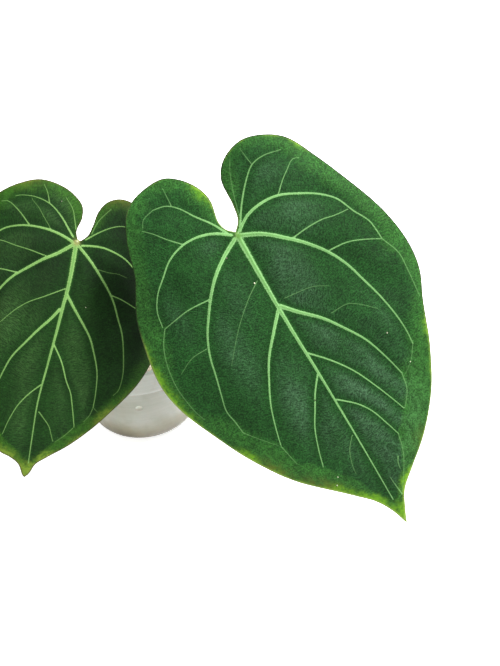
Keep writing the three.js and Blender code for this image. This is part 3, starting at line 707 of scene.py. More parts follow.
def blade_heights(leaf, places, veins, to_margin, beyond):
    """Heights of the upper side, the middle and the lower side over the blade's flat base plane."""
    grain_places = [Vector((a / GRAIN_LENGTH, b / GRAIN_LENGTH, leaf["wave_phase"])) for a, b in places]
    grain = np.array([noise.noise(place) for place in grain_places])
    puffed = 1 - np.exp(-((veins.nearest_main / QUILT_REACH) ** 2))
    quilt = QUILT_HEIGHT * puffed * smoothstep(to_margin, 0, 10)
    middle = blade_height(leaf, places[:, 0], places[:, 1])
    middle = middle + GRAIN_HEIGHT * grain * smoothstep(to_margin, 0, 6)
    middle = middle - EDGE_BEND * np.clip(beyond, 0, EDGE_BEND_REACH)
    calm = smoothstep(to_margin, 0.2, 3)
    half = 0.5 * (EDGE_THICKNESS + (BLADE_THICKNESS - EDGE_THICKNESS) * calm)
    upper = middle + half + quilt + (veins.ridge - veins.furrow) * calm
    lower = middle - half + quilt - veins.rib * calm
    return upper, middle, lower


def brim_line(margin):
    """The margin pushed a little outwards, and whether the margin runs anticlockwise."""
    outward = np.gradient(np.vstack([margin, margin[:1]]), axis=0)[:-1]
    outward = np.stack([outward[:, 1], -outward[:, 0]], 1)
    outward /= np.linalg.norm(outward, axis=1)[:, None]
    after = np.roll(margin, -1, axis=0)
    signed_area = (margin[:, 0] * after[:, 1] - after[:, 0] * margin[:, 1]).sum()
    return margin + outward * math.copysign(BRIM_REACH, signed_area), signed_area > 0


def blade_faces(triangles, count, edge_count, forward):
    """Faces of the upper side, the lower side and the brim, and the material of each."""
    faces = triangles.tolist() + (triangles[:, ::-1] + count).tolist()
    face_materials = [0] * len(triangles) + [1] * len(triangles)
    for i in range(edge_count):
        j = (i + 1) % edge_count
        first, second = (i, j) if forward else (j, i)
        faces.append([second, first, 2 * count + first, 2 * count + second])
        faces.append([2 * count + second, 2 * count + first, count + first, count + second])
        face_materials += [0, 1]
    return faces, face_materials


def build_leaf(side, leaf, materials):
    margin, inside = leaf_places(leaf)
    places = np.vstack([margin, inside])
    count, edge_count = len(places), len(margin)
    triangles = triangles_over(places, loop_edges(0, edge_count))
    veins = Veins(leaf, places)
    to_margin, _ = nearest_on(places, np.vstack([margin, margin[:1]]))
    collective = spline(leaf["collective"] + leaf["collective"][:1], 8)[:-1]
    beyond = beyond_loop(places, collective)
    upper, middle, lower = blade_heights(leaf, places, veins, to_margin, beyond)
    brim, forward = brim_line(margin)
    local = np.vstack([
        np.column_stack([places, upper]),
        np.column_stack([places, lower]),
        np.column_stack([brim, middle[:edge_count]]),
    ])
    basis = np.array([list(axis) for axis in leaf_basis(leaf)])
    junction = np.array(leaf["junction"], float)
    vertices = local @ basis + junction
    faces, face_materials = blade_faces(triangles, count, edge_count, forward)
    paleness = [0.0] * len(vertices)
    ball, ball_faces = unit_ball(5, 8)
    for u, v, radius, pale in leaf["specks"]:
        under = np.hypot(places[:, 0] - u, places[:, 1] - v).argmin()
        lump = ball * radius * np.array([1, 0.75, 0.55]) + [u, v, upper[under] + 0.2 * radius]
        faces += [[len(vertices) + i for i in face] for face in ball_faces]
        face_materials += [2] * len(ball_faces)
        vertices = np.vstack([vertices, lump @ basis + junction])
        paleness += [pale] * len(ball)
    piece = new_piece(f"blade_{side}", vertices, faces, materials, f"leaf_{side}", face_materials)
    mesh = piece.data
    add_number(mesh, "paleness", paleness)
    on_specks = np.zeros(len(vertices) - 2 * count - edge_count)
    for name, values in leaf_numbers(leaf, places, veins, to_margin, beyond).items():
        add_number(mesh, name, np.concatenate([values, values, values[:edge_count], on_specks]))


# Node materials


class Shade:
    """A principled material with its colour, roughness and bump made by nodes."""

    def __init__(self, name):
        self.material = bpy.data.materials.new(name)
        self.material.use_nodes = True
        self.tree = self.material.node_tree
        self.shader = next(node for node in self.tree.nodes if node.type == "BSDF_PRINCIPLED")
        self.place = self.tree.nodes.new("ShaderNodeTexCoord").outputs["Object"]

    def put(self, socket, value):
        if isinstance(value, bpy.types.NodeSocket):
            self.tree.links.new(value, socket)
        elif isinstance(value, tuple):
            socket.default_value = (*value, 1.0) if len(value) == 3 else value
        else:
            socket.default_value = value

    def constant(self, **values):
        for name, value in values.items():
            self.put(self.shader.inputs[name.replace("_", " ")], value)

    def attribute(self, name):
        node = self.tree.nodes.new("ShaderNodeAttribute")
        node.attribute_name = name
        return node.outputs["Fac"]

    def noise(self, scale, detail=3.0, roughness=0.55, stretch=None):
        node = self.tree.nodes.new("ShaderNodeTexNoise")
        self.put(node.inputs["Vector"], self.stretched(stretch))
        node.inputs["Scale"].default_value = scale
        node.inputs["Detail"].default_value = detail
        node.inputs["Roughness"].default_value = roughness
        return node.outputs["Fac"]

    def warped(self, amount):
        """The place, pushed about by a noise by up to the amount."""
        if not amount:
            return self.place
        push = self.tree.nodes.new("ShaderNodeTexNoise")
        self.put(push.inputs["Vector"], self.place)
        push.inputs["Scale"].default_value = 130
        scaled = self.tree.nodes.new("ShaderNodeVectorMath")
        scaled.operation = "MULTIPLY_ADD"
        self.put(scaled.inputs[0], push.outputs["Color"])
        scaled.inputs[1].default_value = (amount, amount, amount)
        self.put(scaled.inputs[2], self.place)
        return scaled.outputs["Vector"]

    def ladder(self, rung, reach, wobble):
        """Edges of long cells that cross from vein to vein, as rungs that far apart."""
        joined = self.tree.nodes.new("ShaderNodeCombineXYZ")
        shift = self.span(self.noise(90, 2.0), 0.2, 0.8, -wobble, wobble)
        for i, (name, length) in enumerate((("along", rung), ("aside", reach))):
            shifted = self.math("ADD", self.attribute(name), shift)
            self.put(joined.inputs[i], self.math("DIVIDE", shifted, length))
        node = self.tree.nodes.new("ShaderNodeTexVoronoi")
        node.feature = "DISTANCE_TO_EDGE"
        node.voronoi_dimensions = "2D"
        node.inputs["Scale"].default_value = 1.0
        self.put(node.inputs["Vector"], joined.outputs[0])
        return node.outputs["Distance"]

    def stretched(self, stretch):
        if stretch is None:
            return self.place
        node = self.tree.nodes.new("ShaderNodeMapping")
        self.put(node.inputs["Vector"], self.place)
        node.inputs["Scale"].default_value = stretch
        return node.outputs["Vector"]

    def cells(self, scale, feature="DISTANCE_TO_EDGE", warp=0.0):
        node = self.tree.nodes.new("ShaderNodeTexVoronoi")
        node.feature = feature
        self.put(node.inputs["Vector"], self.warped(warp))
        node.inputs["Scale"].default_value = scale
        return node.outputs["Distance"]

    def math(self, operation, first, second=0.0):
        node = self.tree.nodes.new("ShaderNodeMath")
        node.operation = operation
        self.put(node.inputs[0], first)
        self.put(node.inputs[1], second)
        return node.outputs[0]

    def times(self, first, second):
        return self.math("MULTIPLY", first, second)

    def span(self, value, low, high, to_low=0.0, to_high=1.0):
        """Maps low..high smoothly to to_low..to_high."""
        node = self.tree.nodes.new("ShaderNodeMapRange")
        node.interpolation_type = "SMOOTHSTEP"
        self.put(node.inputs["Value"], value)
        self.put(node.inputs["From Min"], low)
        self.put(node.inputs["From Max"], high)
        self.put(node.inputs["To Min"], to_low)
        self.put(node.inputs["To Max"], to_high)
        return node.outputs["Result"]

    def mix(self, share, first, second):
        node = self.tree.nodes.new("ShaderNodeMix")
        node.data_type = "RGBA"
        self.put(node.inputs[0], share)
        self.put(node.inputs[6], first)
        self.put(node.inputs[7], second)
        return node.outputs[2]

    def scaled(self, colour, factor):
        """The colour, made lighter or darker."""
        node = self.tree.nodes.new("ShaderNodeVectorMath")
        node.operation = "SCALE"
        self.put(node.inputs[0], colour)
        self.put(node.inputs["Scale"], factor)
        return node.outputs["Vector"]

    def axis(self, name):
        node = self.tree.nodes.new("ShaderNodeSeparateXYZ")
        self.put(node.inputs[0], self.place)
        return node.outputs[name]

    def finish(self, colour, roughness, bump=None, strength=0.3, distance=0.0003):
        self.put(self.shader.inputs["Base Color"], colour)
        self.put(self.shader.inputs["Roughness"], roughness)
        if bump is not None:
            node = self.tree.nodes.new("ShaderNodeBump")
            node.inputs["Strength"].default_value = strength
            node.inputs["Distance"].default_value = distance
            self.put(node.inputs["Height"], bump)
            self.put(self.shader.inputs["Normal"], node.outputs["Normal"])
        return self.material


def srgb(red, green, blue):
    """A colour given as 0..255 display values, as the pigment that the scene's light calls for."""
    def linear(value):
        value /= 255
        return PIGMENT * (value / 12.92 if value <= 0.04045 else ((value + 0.055) / 1.055) ** 2.4)
    return linear(red), linear(green), linear(blue)


def vein_mask(shade):
    """How far a place is vein, from the distance off its axis, with a slightly ragged edge."""
    ragged = shade.span(shade.noise(1700, 2.0), 0.3, 0.7, -0.14, 0.14)
    off_axis = shade.math("ADD", shade.attribute("off_axis"), ragged)
    return shade.times(shade.span(off_axis, 0.72, 1.12, 1.0, 0.0), shade.attribute("glow"))


def velvet_ground(shade, tones, grain, fine):
    """Velvet colour between the veins with painted sheen and glints, and the raised rungs that cross it."""
    broad = shade.noise(26, 2.0)
    patchy = shade.noise(110, 4.0, 0.65)
    darker = tuple(0.7 * part for part in tones["deep"])
    colour = shade.mix(shade.span(patchy, 0.3, 0.7), tones["deep"], darker)
    streaks = shade.span(shade.ladder(1.0, 5.0, 0.8), 0.0, 0.35, 1.0, 0.0)
    # Painted sheen: grey, streaked spots between the veins
    painted_sheen_share = shade.times(shade.attribute("painted_sheen"), shade.span(patchy, 0.3, 0.65, 0.5, 1.0))
    painted_sheen_share = shade.times(painted_sheen_share, shade.span(streaks, 0.0, 1.0, 0.8, 1.3))
    colour = shade.mix(painted_sheen_share, colour, tones["painted_sheen"])
    wander = shade.math("ADD", shade.attribute("beyond"), shade.span(patchy, 0.3, 0.7, -0.7, 0.7))
    zoned = shade.times(shade.span(wander, -1.2, 1.0), shade.attribute("zone_share"))
    colour = shade.mix(zoned, colour, tones["zone"])
    rungs = shade.span(shade.ladder(3.4, 8.0, 1.6), 0.0, 0.06, 1.0, 0.0)
    rungs = shade.times(rungs, shade.span(broad, 0.4, 0.65))
    colour = shade.scaled(colour, shade.span(rungs, 0.0, 1.0, 1.0, 1.35))
    colour = shade.scaled(colour, shade.span(streaks, 0.0, 1.0, 0.88, 1.22))
    colour = shade.scaled(colour, shade.span(fine, 0.34, 0.66, 1 - grain, 1 + grain))
    # Painted glints: pale specks of sparkle on the velvet
    glint = shade.span(shade.noise(1000, 1.0), 0.68, 0.8, 0.0, 0.35 * grain)
    return shade.mix(glint, colour, srgb(110, 150, 104)), rungs


def with_margin(shade, colour, tones):
    """The colour with yellowed and scorched places, painted shade, the bright edge and the brim."""
    mottle = shade.span(shade.noise(420, 3.0, 0.65), 0.34, 0.64, 0.6, 1.3)
    patch = shade.times(shade.attribute("patch"), mottle)
    colour = shade.mix(shade.span(patch, 0.06, 0.9), colour, tones["yellow"])
    ragged = shade.span(shade.noise(260, 3.0), 0.36, 0.6, 0.3, 1.0)
    scorch = shade.times(shade.attribute("scorched"), ragged)
    colour = shade.mix(scorch, colour, srgb(84, 88, 32))
    # Painted shade: the colour darkened in the shaded spots
    colour = shade.scaled(colour, shade.math("SUBTRACT", 1.0, shade.attribute("painted_shade")))
    to_margin = shade.attribute("to_margin")
    near_edge = shade.span(to_margin, 0.3, 1.3, 0.45, 0.0)
    edge = shade.times(near_edge, shade.span(patch, 0.0, 0.4, 0.06, 1.0))
    colour = shade.mix(edge, colour, tones["edge"])
    # Painted shade: the brim turns dark where it lies in shade
    brim = shade.mix(shade.attribute("dark_brim"), tones["brim"], srgb(26, 32, 16))
    return shade.mix(shade.span(to_margin, 0.1, 0.6, 0.75, 0.0), colour, brim)


def with_veins(shade, colour, tones, vein):
    """The colour with the veins, their green centres and halos, and the pale heart at the stalk."""
    off_axis = shade.attribute("off_axis")
    light_tint = shade.mix(shade.noise(900, 3.0, 0.7), tones["vein_low"], tones["vein_high"])
    centre = shade.times(shade.span(off_axis, 0.15, 0.55, 0.65, 0.0), shade.attribute("stout"))
    vein_tint = shade.mix(centre, light_tint, srgb(84, 138, 62))
    halo = shade.times(shade.span(off_axis, 1.0, 2.2, 0.22, 0.0), shade.attribute("glow"))
    colour = shade.mix(halo, colour, srgb(50, 112, 36))
    colour = shade.mix(vein, colour, vein_tint)
    return shade.mix(shade.attribute("heart"), colour, tones["heart"])


def velvet_material(side, palette):
    shade = Shade(f"velvet_{side}")
    tones = {name: srgb(*tone) for name, tone in palette.items() if name != "grain"}
    fine = shade.noise(1350, 2.0, 0.75)
    vein = vein_mask(shade)
    colour, rungs = velvet_ground(shade, tones, palette["grain"], fine)
    colour = with_margin(shade, colour, tones)
    colour = with_veins(shade, colour, tones, vein)
    shade.constant(Sheen_Weight=0.03, Sheen_Roughness=0.4, Sheen_Tint=srgb(196, 224, 196))
    shade.constant(Specular_IOR_Level=0.08)
    relief = shade.math("ADD", shade.times(fine, 0.8), shade.times(rungs, 0.8))
    roughness = shade.span(vein, 0.0, 1.0, 0.72, 0.5)
    return shade.finish(colour, roughness, relief, 0.5, 0.0003)


def speck_material():
    shade = Shade("leaf_speck")
    colour = shade.mix(shade.attribute("paleness"), srgb(64, 50, 30), srgb(226, 228, 196))
    grain = shade.noise(2500)
    return shade.finish(shade.scaled(colour, shade.span(grain, 0.3, 0.7, 0.7, 1.1)), 0.9, grain, 0.5, 0.0002)


def underside_material():
    shade = Shade("leaf_underside")
    patchy = shade.noise(90, 4.0, 0.6)
    colour = shade.mix(shade.span(patchy, 0.35, 0.7), srgb(54, 86, 38), srgb(72, 106, 50))
    net = shade.span(shade.cells(190, warp=0.004), 0.0, 0.07, 1.0, 0.0)
    colour = shade.mix(shade.times(net, 0.35), colour, srgb(92, 124, 62))
    colour = shade.mix(vein_mask(shade), colour, srgb(116, 150, 78))
    brim = shade.span(shade.attribute("to_margin"), 0.2, 1.2, 0.5, 0.0)
    colour = shade.mix(brim, colour, srgb(116, 118, 66))
    shade.constant(Specular_IOR_Level=0.35)
    relief = shade.math("ADD", net, shade.times(shade.noise(1500), 0.4))
    return shade.finish(colour, 0.62, relief, 0.4, 0.0003)


def stalk_material(side, palette):
    shade = Shade(f"petiole_{side}")
    reach = shade.attribute("reach")
    streaks = shade.noise(400, 3.0, 0.6, (1.0, 1.0, 0.12))
    colour = shade.mix(shade.span(streaks, 0.35, 0.65), srgb(82, 118, 52), srgb(112, 150, 70))
    colour = shade.mix(shade.span(reach, 0.0, 0.14, 0.8, 0.0), colour, srgb(132, 112, 74))
    colour = shade.mix(shade.span(reach, 0.86, 0.95, 0.0, 0.7), colour, srgb(146, 176, 88))
    colour = shade.mix(shade.span(reach, 0.96, 1.0, 0.0, 0.8), colour, srgb(*palette["heart"]))
    flecks = shade.span(shade.cells(900, "F1"), 0.08, 0.2, 1.0, 0.0)
    colour = shade.mix(shade.times(flecks, 0.35), colour, srgb(176, 192, 120))
    shade.constant(Specular_IOR_Level=0.45)
    return shade.finish(colour, shade.span(streaks, 0.3, 0.7, 0.38, 0.55), streaks, 0.3, 0.0002)


def stem_material():
    shade = Shade("stem_bark")
    rings = shade.noise(260, 4.0, 0.65, (0.35, 0.35, 2.2))
    colour = shade.mix(shade.span(rings, 0.35, 0.65), srgb(74, 66, 40), srgb(116, 108, 64))
    colour = shade.mix(shade.span(shade.noise(60, 3.0), 0.45, 0.6, 0.0, 0.6), colour, srgb(92, 112, 58))
    return shade.finish(colour, 0.8, rings, 0.7, 0.0006)


def sheath_material():
    shade = Shade("papery_sheath")
    fibres = shade.noise(700, 4.0, 0.7, (1.0, 1.0, 0.06))
    colour = shade.mix(shade.span(fibres, 0.3, 0.7), srgb(112, 84, 52), srgb(186, 156, 108))
    colour = shade.mix(shade.span(shade.noise(120, 3.0), 0.4, 0.7, 0.0, 0.5), colour, srgb(84, 60, 38))
    return shade.finish(colour, 0.85, fibres, 0.8, 0.0004)


def bark_material():
    shade = Shade("bark_chunk")
    tone = shade.attribute("tone")
    grain = shade.noise(500, 5.0, 0.7, (1.0, 0.4, 1.0))
    colour = shade.mix(tone, srgb(60, 41, 26), srgb(128, 90, 56))
    colour = shade.mix(shade.span(grain, 0.4, 0.7, 0.0, 0.7), colour, srgb(44, 30, 22))
    return shade.finish(colour, 0.9, grain, 0.9, 0.0008)


def pumice_material():
    shade = Shade("pumice_chunk")
    pores = shade.span(shade.cells(1500, "F1"), 0.1, 0.5)
    colour = shade.mix(pores, srgb(122, 112, 94), srgb(196, 186, 164))
    colour = shade.mix(shade.span(shade.noise(200, 3.0), 0.45, 0.75, 0.0, 0.6), colour, srgb(168, 140, 104))
    return shade.finish(colour, 0.92, pores, 0.8, 0.0006)


def fines_material():
    shade = Shade("mix_fines")
    grain = shade.noise(700, 5.0, 0.75)
    colour = shade.mix(shade.span(grain, 0.35, 0.65), srgb(36, 25, 18), srgb(92, 66, 44))
    return shade.finish(colour, 0.95, grain, 1.0, 0.0015)


def pot_material():
    shade = Shade("milky_plastic")
    height = shade.axis("Z")
    cloud = shade.noise(55, 3.0)
    scuff = shade.noise(300, 2.0, 0.6, (1.0, 1.0, 0.35))
    colour = shade.mix(shade.span(cloud, 0.35, 0.65), srgb(144, 145, 129), srgb(154, 155, 142))
    band = shade.span(height, (BAND_BOTTOM - 0.2) * MM, (BAND_BOTTOM + 0.8) * MM)
    colour = shade.mix(band, colour, shade.mix(cloud, srgb(160, 162, 151), srgb(171, 173, 164)))
    # Painted reflection of a brown table and painted shade: browner and darker towards the foot
    foot = shade.math("ADD", height, shade.span(cloud, 0.3, 0.7, -0.002, 0.002))
    colour = shade.mix(shade.span(foot, 0.012, 0.028, 1.0, 0.0), colour, srgb(122, 116, 88))
    colour = shade.mix(shade.span(foot, 0.004, 0.016, 1.0, 0.0), colour, srgb(76, 66, 38))
    rings = shade.noise(60, 2.0, 0.6, (0.3, 0.3, 12.0))
    colour = shade.scaled(colour, shade.span(rings, 0.35, 0.65, 0.97, 1.025))
    # Painted light and shade: lighter towards the pot's left, darker towards its right
    colour = shade.scaled(colour, shade.span(shade.axis("X"), -0.012, 0.030, 1.12, 0.76))
    # Painted shade: a dark line just under the band's lip
    lip = shade.math("ABSOLUTE", shade.math("SUBTRACT", height, (BAND_BOTTOM + 0.5) * MM))
    colour = shade.scaled(colour, shade.span(lip, 0.0004, 0.0012, 0.72, 1.0))
    colour = shade.mix(shade.span(scuff, 0.55, 0.8, 0.0, 0.16), colour, srgb(126, 122, 104))
    # Painted highlight: the dimples lighter than the wall
    colour = shade.scaled(colour, shade.span(shade.attribute("dimple"), 0.0, 1.0, 1.0, 1.6))
    shade.constant(Specular_IOR_Level=0.5, Subsurface_Weight=0.2, Subsurface_Scale=0.003)
    return shade.finish(colour, shade.span(scuff, 0.3, 0.8, 0.3, 0.45), scuff, 0.12, 0.0002)


# Pot


def wall_radius(height):
    return FOOT_RADIUS + (height - FOOT_ROUNDING) * math.tan(WALL_TAPER)


def foot_arc(inset, steps):
    last = math.pi / 2 - WALL_TAPER
    reach = FOOT_ROUNDING - inset
    centre = FOOT_RADIUS - FOOT_ROUNDING
    angles = np.linspace(0, last, steps + 1)
    return [(centre + reach * math.sin(angle), FOOT_ROUNDING - reach * math.cos(angle)) for angle in angles]


def rounded_rim(outer, inner, top, steps=6):
    radius = RIM_ROUNDING
    points = []
    for i in range(steps + 1):
        angle = math.pi / 2 * i / steps
        points.append((outer - radius + radius * math.cos(angle), top - radius + radius * math.sin(angle)))
    for i in range(steps + 1):
        angle = math.pi / 2 * (1 + i / steps)
        points.append((inner + radius + radius * math.cos(angle), top - radius + radius * math.sin(angle)))
    return points


def pot_profile():
    """(radius, height) from the foot's edge up the outside, over the rim and down the inside."""
    top_outer = wall_radius(POT_HEIGHT) + BAND_STEP
    top_inner = wall_radius(POT_HEIGHT) - WALL_THICKNESS
    near_dimple = [DIMPLE_HEIGHT + step * 0.36 for step in range(-9, 10)]
    heights = [14, 19, 24, 29, 34, *near_dimple, 47, 51, 54, BAND_BOTTOM - 0.4]
    points = foot_arc(0, 14)
    points += [(wall_radius(height), height) for height in heights]
    points += [(wall_radius(BAND_BOTTOM), BAND_BOTTOM)]
    lip = [(0.12, 0.15), (0.55, 0.4), (0.9, 0.62), (1.0, 1.0)]
    for out, up in lip:
        height = BAND_BOTTOM + LIP_HEIGHT * up
        points.append((wall_radius(height) + BAND_STEP * out, height))
    points += [(wall_radius(height) + BAND_STEP, height) for height in (60, 64, 68, 72, 75)]
    points += rounded_rim(top_outer, top_inner, POT_HEIGHT)
    points += [(wall_radius(height) - WALL_THICKNESS, height) for height in (75, 68, 58, 44, 30, 18)]
    points += foot_arc(WALL_THICKNESS, 10)[::-1]
    return points


def base_plate(rim, height, facing):
    """The drain holes' vertices, and triangles over a round plate that leave the holes open."""
    holes = []
    for i in range(DRAIN_COUNT):
        angle = 2 * math.pi * i / DRAIN_COUNT
        centre = np.array([math.cos(angle), math.sin(angle)]) * DRAIN_RING
        turn = np.linspace(0, 2 * math.pi, DRAIN_SIDES, endpoint=False)
        holes.append(centre + DRAIN_RADIUS * np.stack([np.cos(turn), np.sin(turn)], 1))
    outline = np.asarray(rim)[:, :2]
    outline_count = len(outline)
    places = np.vstack([outline, *holes])
    edges = loop_edges(0, outline_count)
    for start in range(outline_count, len(places), DRAIN_SIDES):
        edges += loop_edges(start, DRAIN_SIDES)
    triangles = []
    for corners in triangles_over(places, edges).tolist():
        rings_met = {(i - outline_count) // DRAIN_SIDES for i in corners}
        inside_hole = len(rings_met) == 1 and min(corners) >= outline_count
        if not inside_hole:
            triangles.append(corners if facing > 0 else corners[::-1])
    rings = np.vstack(holes)
    vertices = np.column_stack([rings, np.full(len(rings), height)])
    return vertices, triangles


def wall_angles():
    """Angles round the wall, close together at each dimple."""
    pitch = 2 * math.pi / DIMPLE_COUNT
    spread = DIMPLE_SPREAD_DEGREES
    fine = np.arange(-spread, spread + 0.01, 0.4)
    coarse = np.linspace(spread, math.degrees(pitch) - spread, 16)[1:-1]
    one = np.radians(np.concatenate([fine, coarse]))
    return np.concatenate([FIRST_DIMPLE_ANGLE + pitch * i + one for i in range(DIMPLE_COUNT)])


def build_pot(material):
    profile = pot_profile()
    turn = wall_angles()
    sides = len(turn)
    pitch = 2 * math.pi / DIMPLE_COUNT
    offset = (turn - FIRST_DIMPLE_ANGLE + pitch / 2) % pitch - pitch / 2
    rows = []
    dimple = np.zeros((len(profile), sides))
    for row, (radius, height) in enumerate(profile):
        radii = np.full(sides, radius)
        if abs(radius - wall_radius(height)) < DIMPLE_ROW_TOLERANCE:
            distance = np.hypot(offset * radius, height - DIMPLE_HEIGHT) / DIMPLE_RADIUS
            radii = radii - DIMPLE_DEPTH * np.clip(1 - distance**2.4, 0, 1)
            # Where the dimples' painted highlight lightens the pot
            dimple[row] = np.clip(1.15 - distance**4, 0, 1)
        rows.append(np.column_stack([radii * np.cos(turn), radii * np.sin(turn), np.full(sides, height)]))
    vertices = np.vstack(rows)
    faces = []
    for row in range(len(rows) - 1):
        faces += band(row * sides, (row + 1) * sides, sides)
    plates = []
    for ring, height, facing in ((0, 0.0, -1), (len(rows) - 1, WALL_THICKNESS, 1)):
        first_index = len(vertices)
        hole_vertices, triangles = base_plate(rows[ring], height, facing)
        shift = first_index - sides
        for triangle in triangles:
            faces.append([ring * sides + i if i < sides else i + shift for i in triangle])
        vertices = np.vstack([vertices, hole_vertices])
        plates.append(first_index)
    for hole in range(DRAIN_COUNT):
        low, high = (start + hole * DRAIN_SIDES for start in plates)
        faces += band(high, low, DRAIN_SIDES)
    piece = new_piece("nursery_pot", vertices, faces, [material], "pot")
    elsewhere = np.zeros(len(vertices) - dimple.size)
    add_number(piece.data, "dimple", np.concatenate([dimple.ravel(), elsewhere]))


# Potting mix


def mix_surface(x, y):
    """Height of the mix's lumpy top, as in the solid."""
    coarse = math.sin(0.31 * x + 1.1) * math.cos(0.27 * y - 0.4)
    fine = math.sin(0.62 * x - 0.5 * y) * 0.5
    return MIX_TOP + MIX_LUMP * (coarse + fine)


def unit_ball(rings=7, sides=10):
    """A coarse round lump as vertices and faces."""
    vertices = [(0, 0, 1)]
    for ring in range(1, rings):
        tilt = math.pi * ring / rings
        out = math.sin(tilt)
        for side in range(sides):
            turn = 2 * math.pi * (side + 0.5 * (ring % 2)) / sides
            vertices.append((out * math.cos(turn), out * math.sin(turn), math.cos(tilt)))
    vertices.append((0, 0, -1))
    faces = []
    last = len(vertices) - 1
    for side in range(sides):
        after = (side + 1) % sides
        faces.append([0, 1 + side, 1 + after])
        faces.append([last, last - sides + after, last - sides + side])
        for ring in range(rings - 2):
            top, low = 1 + ring * sides, 1 + (ring + 1) * sides
            if ring % 2 == 0:
                faces.append([top + side, low + side, top + after])
                faces.append([top + after, low + side, low + after])
            else:
                faces.append([top + side, low + side, low + after])
                faces.append([top + side, low + after, top + after])
    return np.array(vertices, float), faces


def mix_body(hole, edge):
    """The fines that fill the pot: a rough top, a skirt along the wall and a hole for the stem."""
    turn = np.linspace(0, 2 * math.pi, MIX_SIDES, endpoint=False)
    vertices, faces = [], []
    for ring in range(MIX_RINGS + 1):
        radius = hole + (edge - hole) * ring / MIX_RINGS
        for angle in turn:
            x, y = radius * math.cos(angle), radius * math.sin(angle)
            calm = 1 - (ring / MIX_RINGS) ** 12
            rough = MIX_ROUGHNESS * noise.noise(Vector((x / 2.5, y / 2.5, 3.0))) * calm
            vertices.append((x, y, mix_surface(x, y) - FINES_DEPTH + rough))
    for ring in range(MIX_RINGS):
        faces += band(ring * MIX_SIDES, (ring + 1) * MIX_SIDES, MIX_SIDES, flipped=True)
    skirt = [(wall_radius(height) - WALL_THICKNESS - SEAT_GAP, height) for height in (60, 45, 30, 16)]
    skirt += foot_arc(WALL_THICKNESS + SEAT_GAP, 8)[::-1]
    for radius, height in skirt:
        first = len(vertices)
        vertices.extend((radius * math.cos(angle), radius * math.sin(angle), height) for angle in turn)
        faces += band(first - MIX_SIDES, first, MIX_SIDES, flipped=True)
    faces.append(list(range(len(vertices) - 1, len(vertices) - MIX_SIDES - 1, -1)))
    bottom_of_hole = len(vertices)
    vertices.extend((hole * math.cos(angle), hole * math.sin(angle), STEM_BOTTOM) for angle in turn)
    faces += band(bottom_of_hole, 0, MIX_SIDES, flipped=True)
    faces.append(list(range(bottom_of_hole, bottom_of_hole + MIX_SIDES)))
    return vertices, faces


def build_mix(materials):
    rng = np.random.default_rng(11)
    edge = wall_radius(MIX_TOP) - WALL_THICKNESS - SEAT_GAP
    hole = STEM_RADIUS + STEM_NODE_SWELL + SEAT_GAP
    vertices, faces = mix_body(hole, edge)
    tones = [0.3] * len(vertices)
    face_materials = [0] * len(faces)
    ball, ball_faces = unit_ball()
    for chunk in range(CHUNK_COUNT):
        pumice = rng.random() < PUMICE_SHARE
        size = rng.uniform(*(PUMICE_SIZES if pumice else BARK_SIZES))
        away = math.sqrt(rng.uniform(((hole + size) / (edge - 1)) ** 2, 1)) * (edge - size - 0.5)
        if away < hole + size:
            continue
        angle = rng.uniform(0, 2 * math.pi)
        x, y = away * math.cos(angle), away * math.sin(angle)
        if chunk < PALE_DRIFT_COUNT:
            pumice = True
            x, y = (centre + rng.normal(0, PALE_DRIFT_SPREAD) for centre in PALE_DRIFT)
        widths, heights = ((0.7, 1), (0.6, 0.95)) if pumice else ((0.45, 0.8), (0.3, 0.5))
        scale = np.array([1, rng.uniform(*widths), rng.uniform(*heights)])
        seed = Vector(rng.uniform(-50, 50, 3))
        knobs = np.array([noise.noise(Vector(point) * 1.3 + seed) for point in ball])
        body = ball * (1 + 0.55 * knobs)[:, None] * scale * size
        if not pumice:
            limit = np.array([0.62, 0.62, 0.7]) * scale * size
            body = np.clip(body, -limit, limit) * 1.25
        tip = Matrix.Rotation(rng.normal(0, CHUNK_TILT), 3, "X")
        tip = tip @ Matrix.Rotation(rng.normal(0, CHUNK_TILT), 3, "Y")
        spin = Matrix.Rotation(rng.uniform(0, 2 * math.pi), 3, "Z") @ tip
        body = body @ np.array(spin).T
        lift = rng.uniform(-0.2, 0.55) * size * scale[2]
        body += np.array([x, y, mix_surface(x, y) - CHUNK_DEPTH + lift])
        first = len(vertices)
        vertices.extend(map(tuple, body))
        faces.extend([[first + i for i in face] for face in ball_faces])
        face_materials += [2 if pumice else 1] * len(ball_faces)
        tones += [rng.random()] * len(ball)
    node = "potting_mix"
    piece = new_piece("chunky_mix", vertices, faces, materials, node, face_materials)
    add_number(piece.data, "tone", tones)


# Stem and stalks


def swept(stations, frames, radii, sides, flute_depth=0.0):
    """Vertices and faces of a closed tube whose radius changes along its line."""
    vertices, faces = [], []
    turn = np.linspace(0, 2 * math.pi, sides, endpoint=False)
    for place, (across, up), radius in zip(stations, frames, radii):
        around = radius * (1 + flute_depth * np.cos(STALK_FLUTES * turn))
        ring = np.outer(np.cos(turn) * around, across) + np.outer(np.sin(turn) * around, up) + place
        vertices.append(ring)
    for row in range(len(stations) - 1):
        faces += band(row * sides, (row + 1) * sides, sides)
    vertices = np.vstack(vertices)
    faces.append(list(range(sides - 1, -1, -1)))
    faces.append(list(range(len(vertices) - sides, len(vertices))))
    return vertices, faces


def even_frames(stations):
    """Two directions square to the line at each station, turning as little as they can."""
    forward = np.gradient(stations, axis=0)
    forward /= np.linalg.norm(forward, axis=1)[:, None]
    across = np.array([0.0, 1.0, 0.0])
    frames = []
    for direction in forward:
        across = across - across.dot(direction) * direction
        across /= np.linalg.norm(across)
        frames.append((across, np.cross(direction, across)))
    return frames


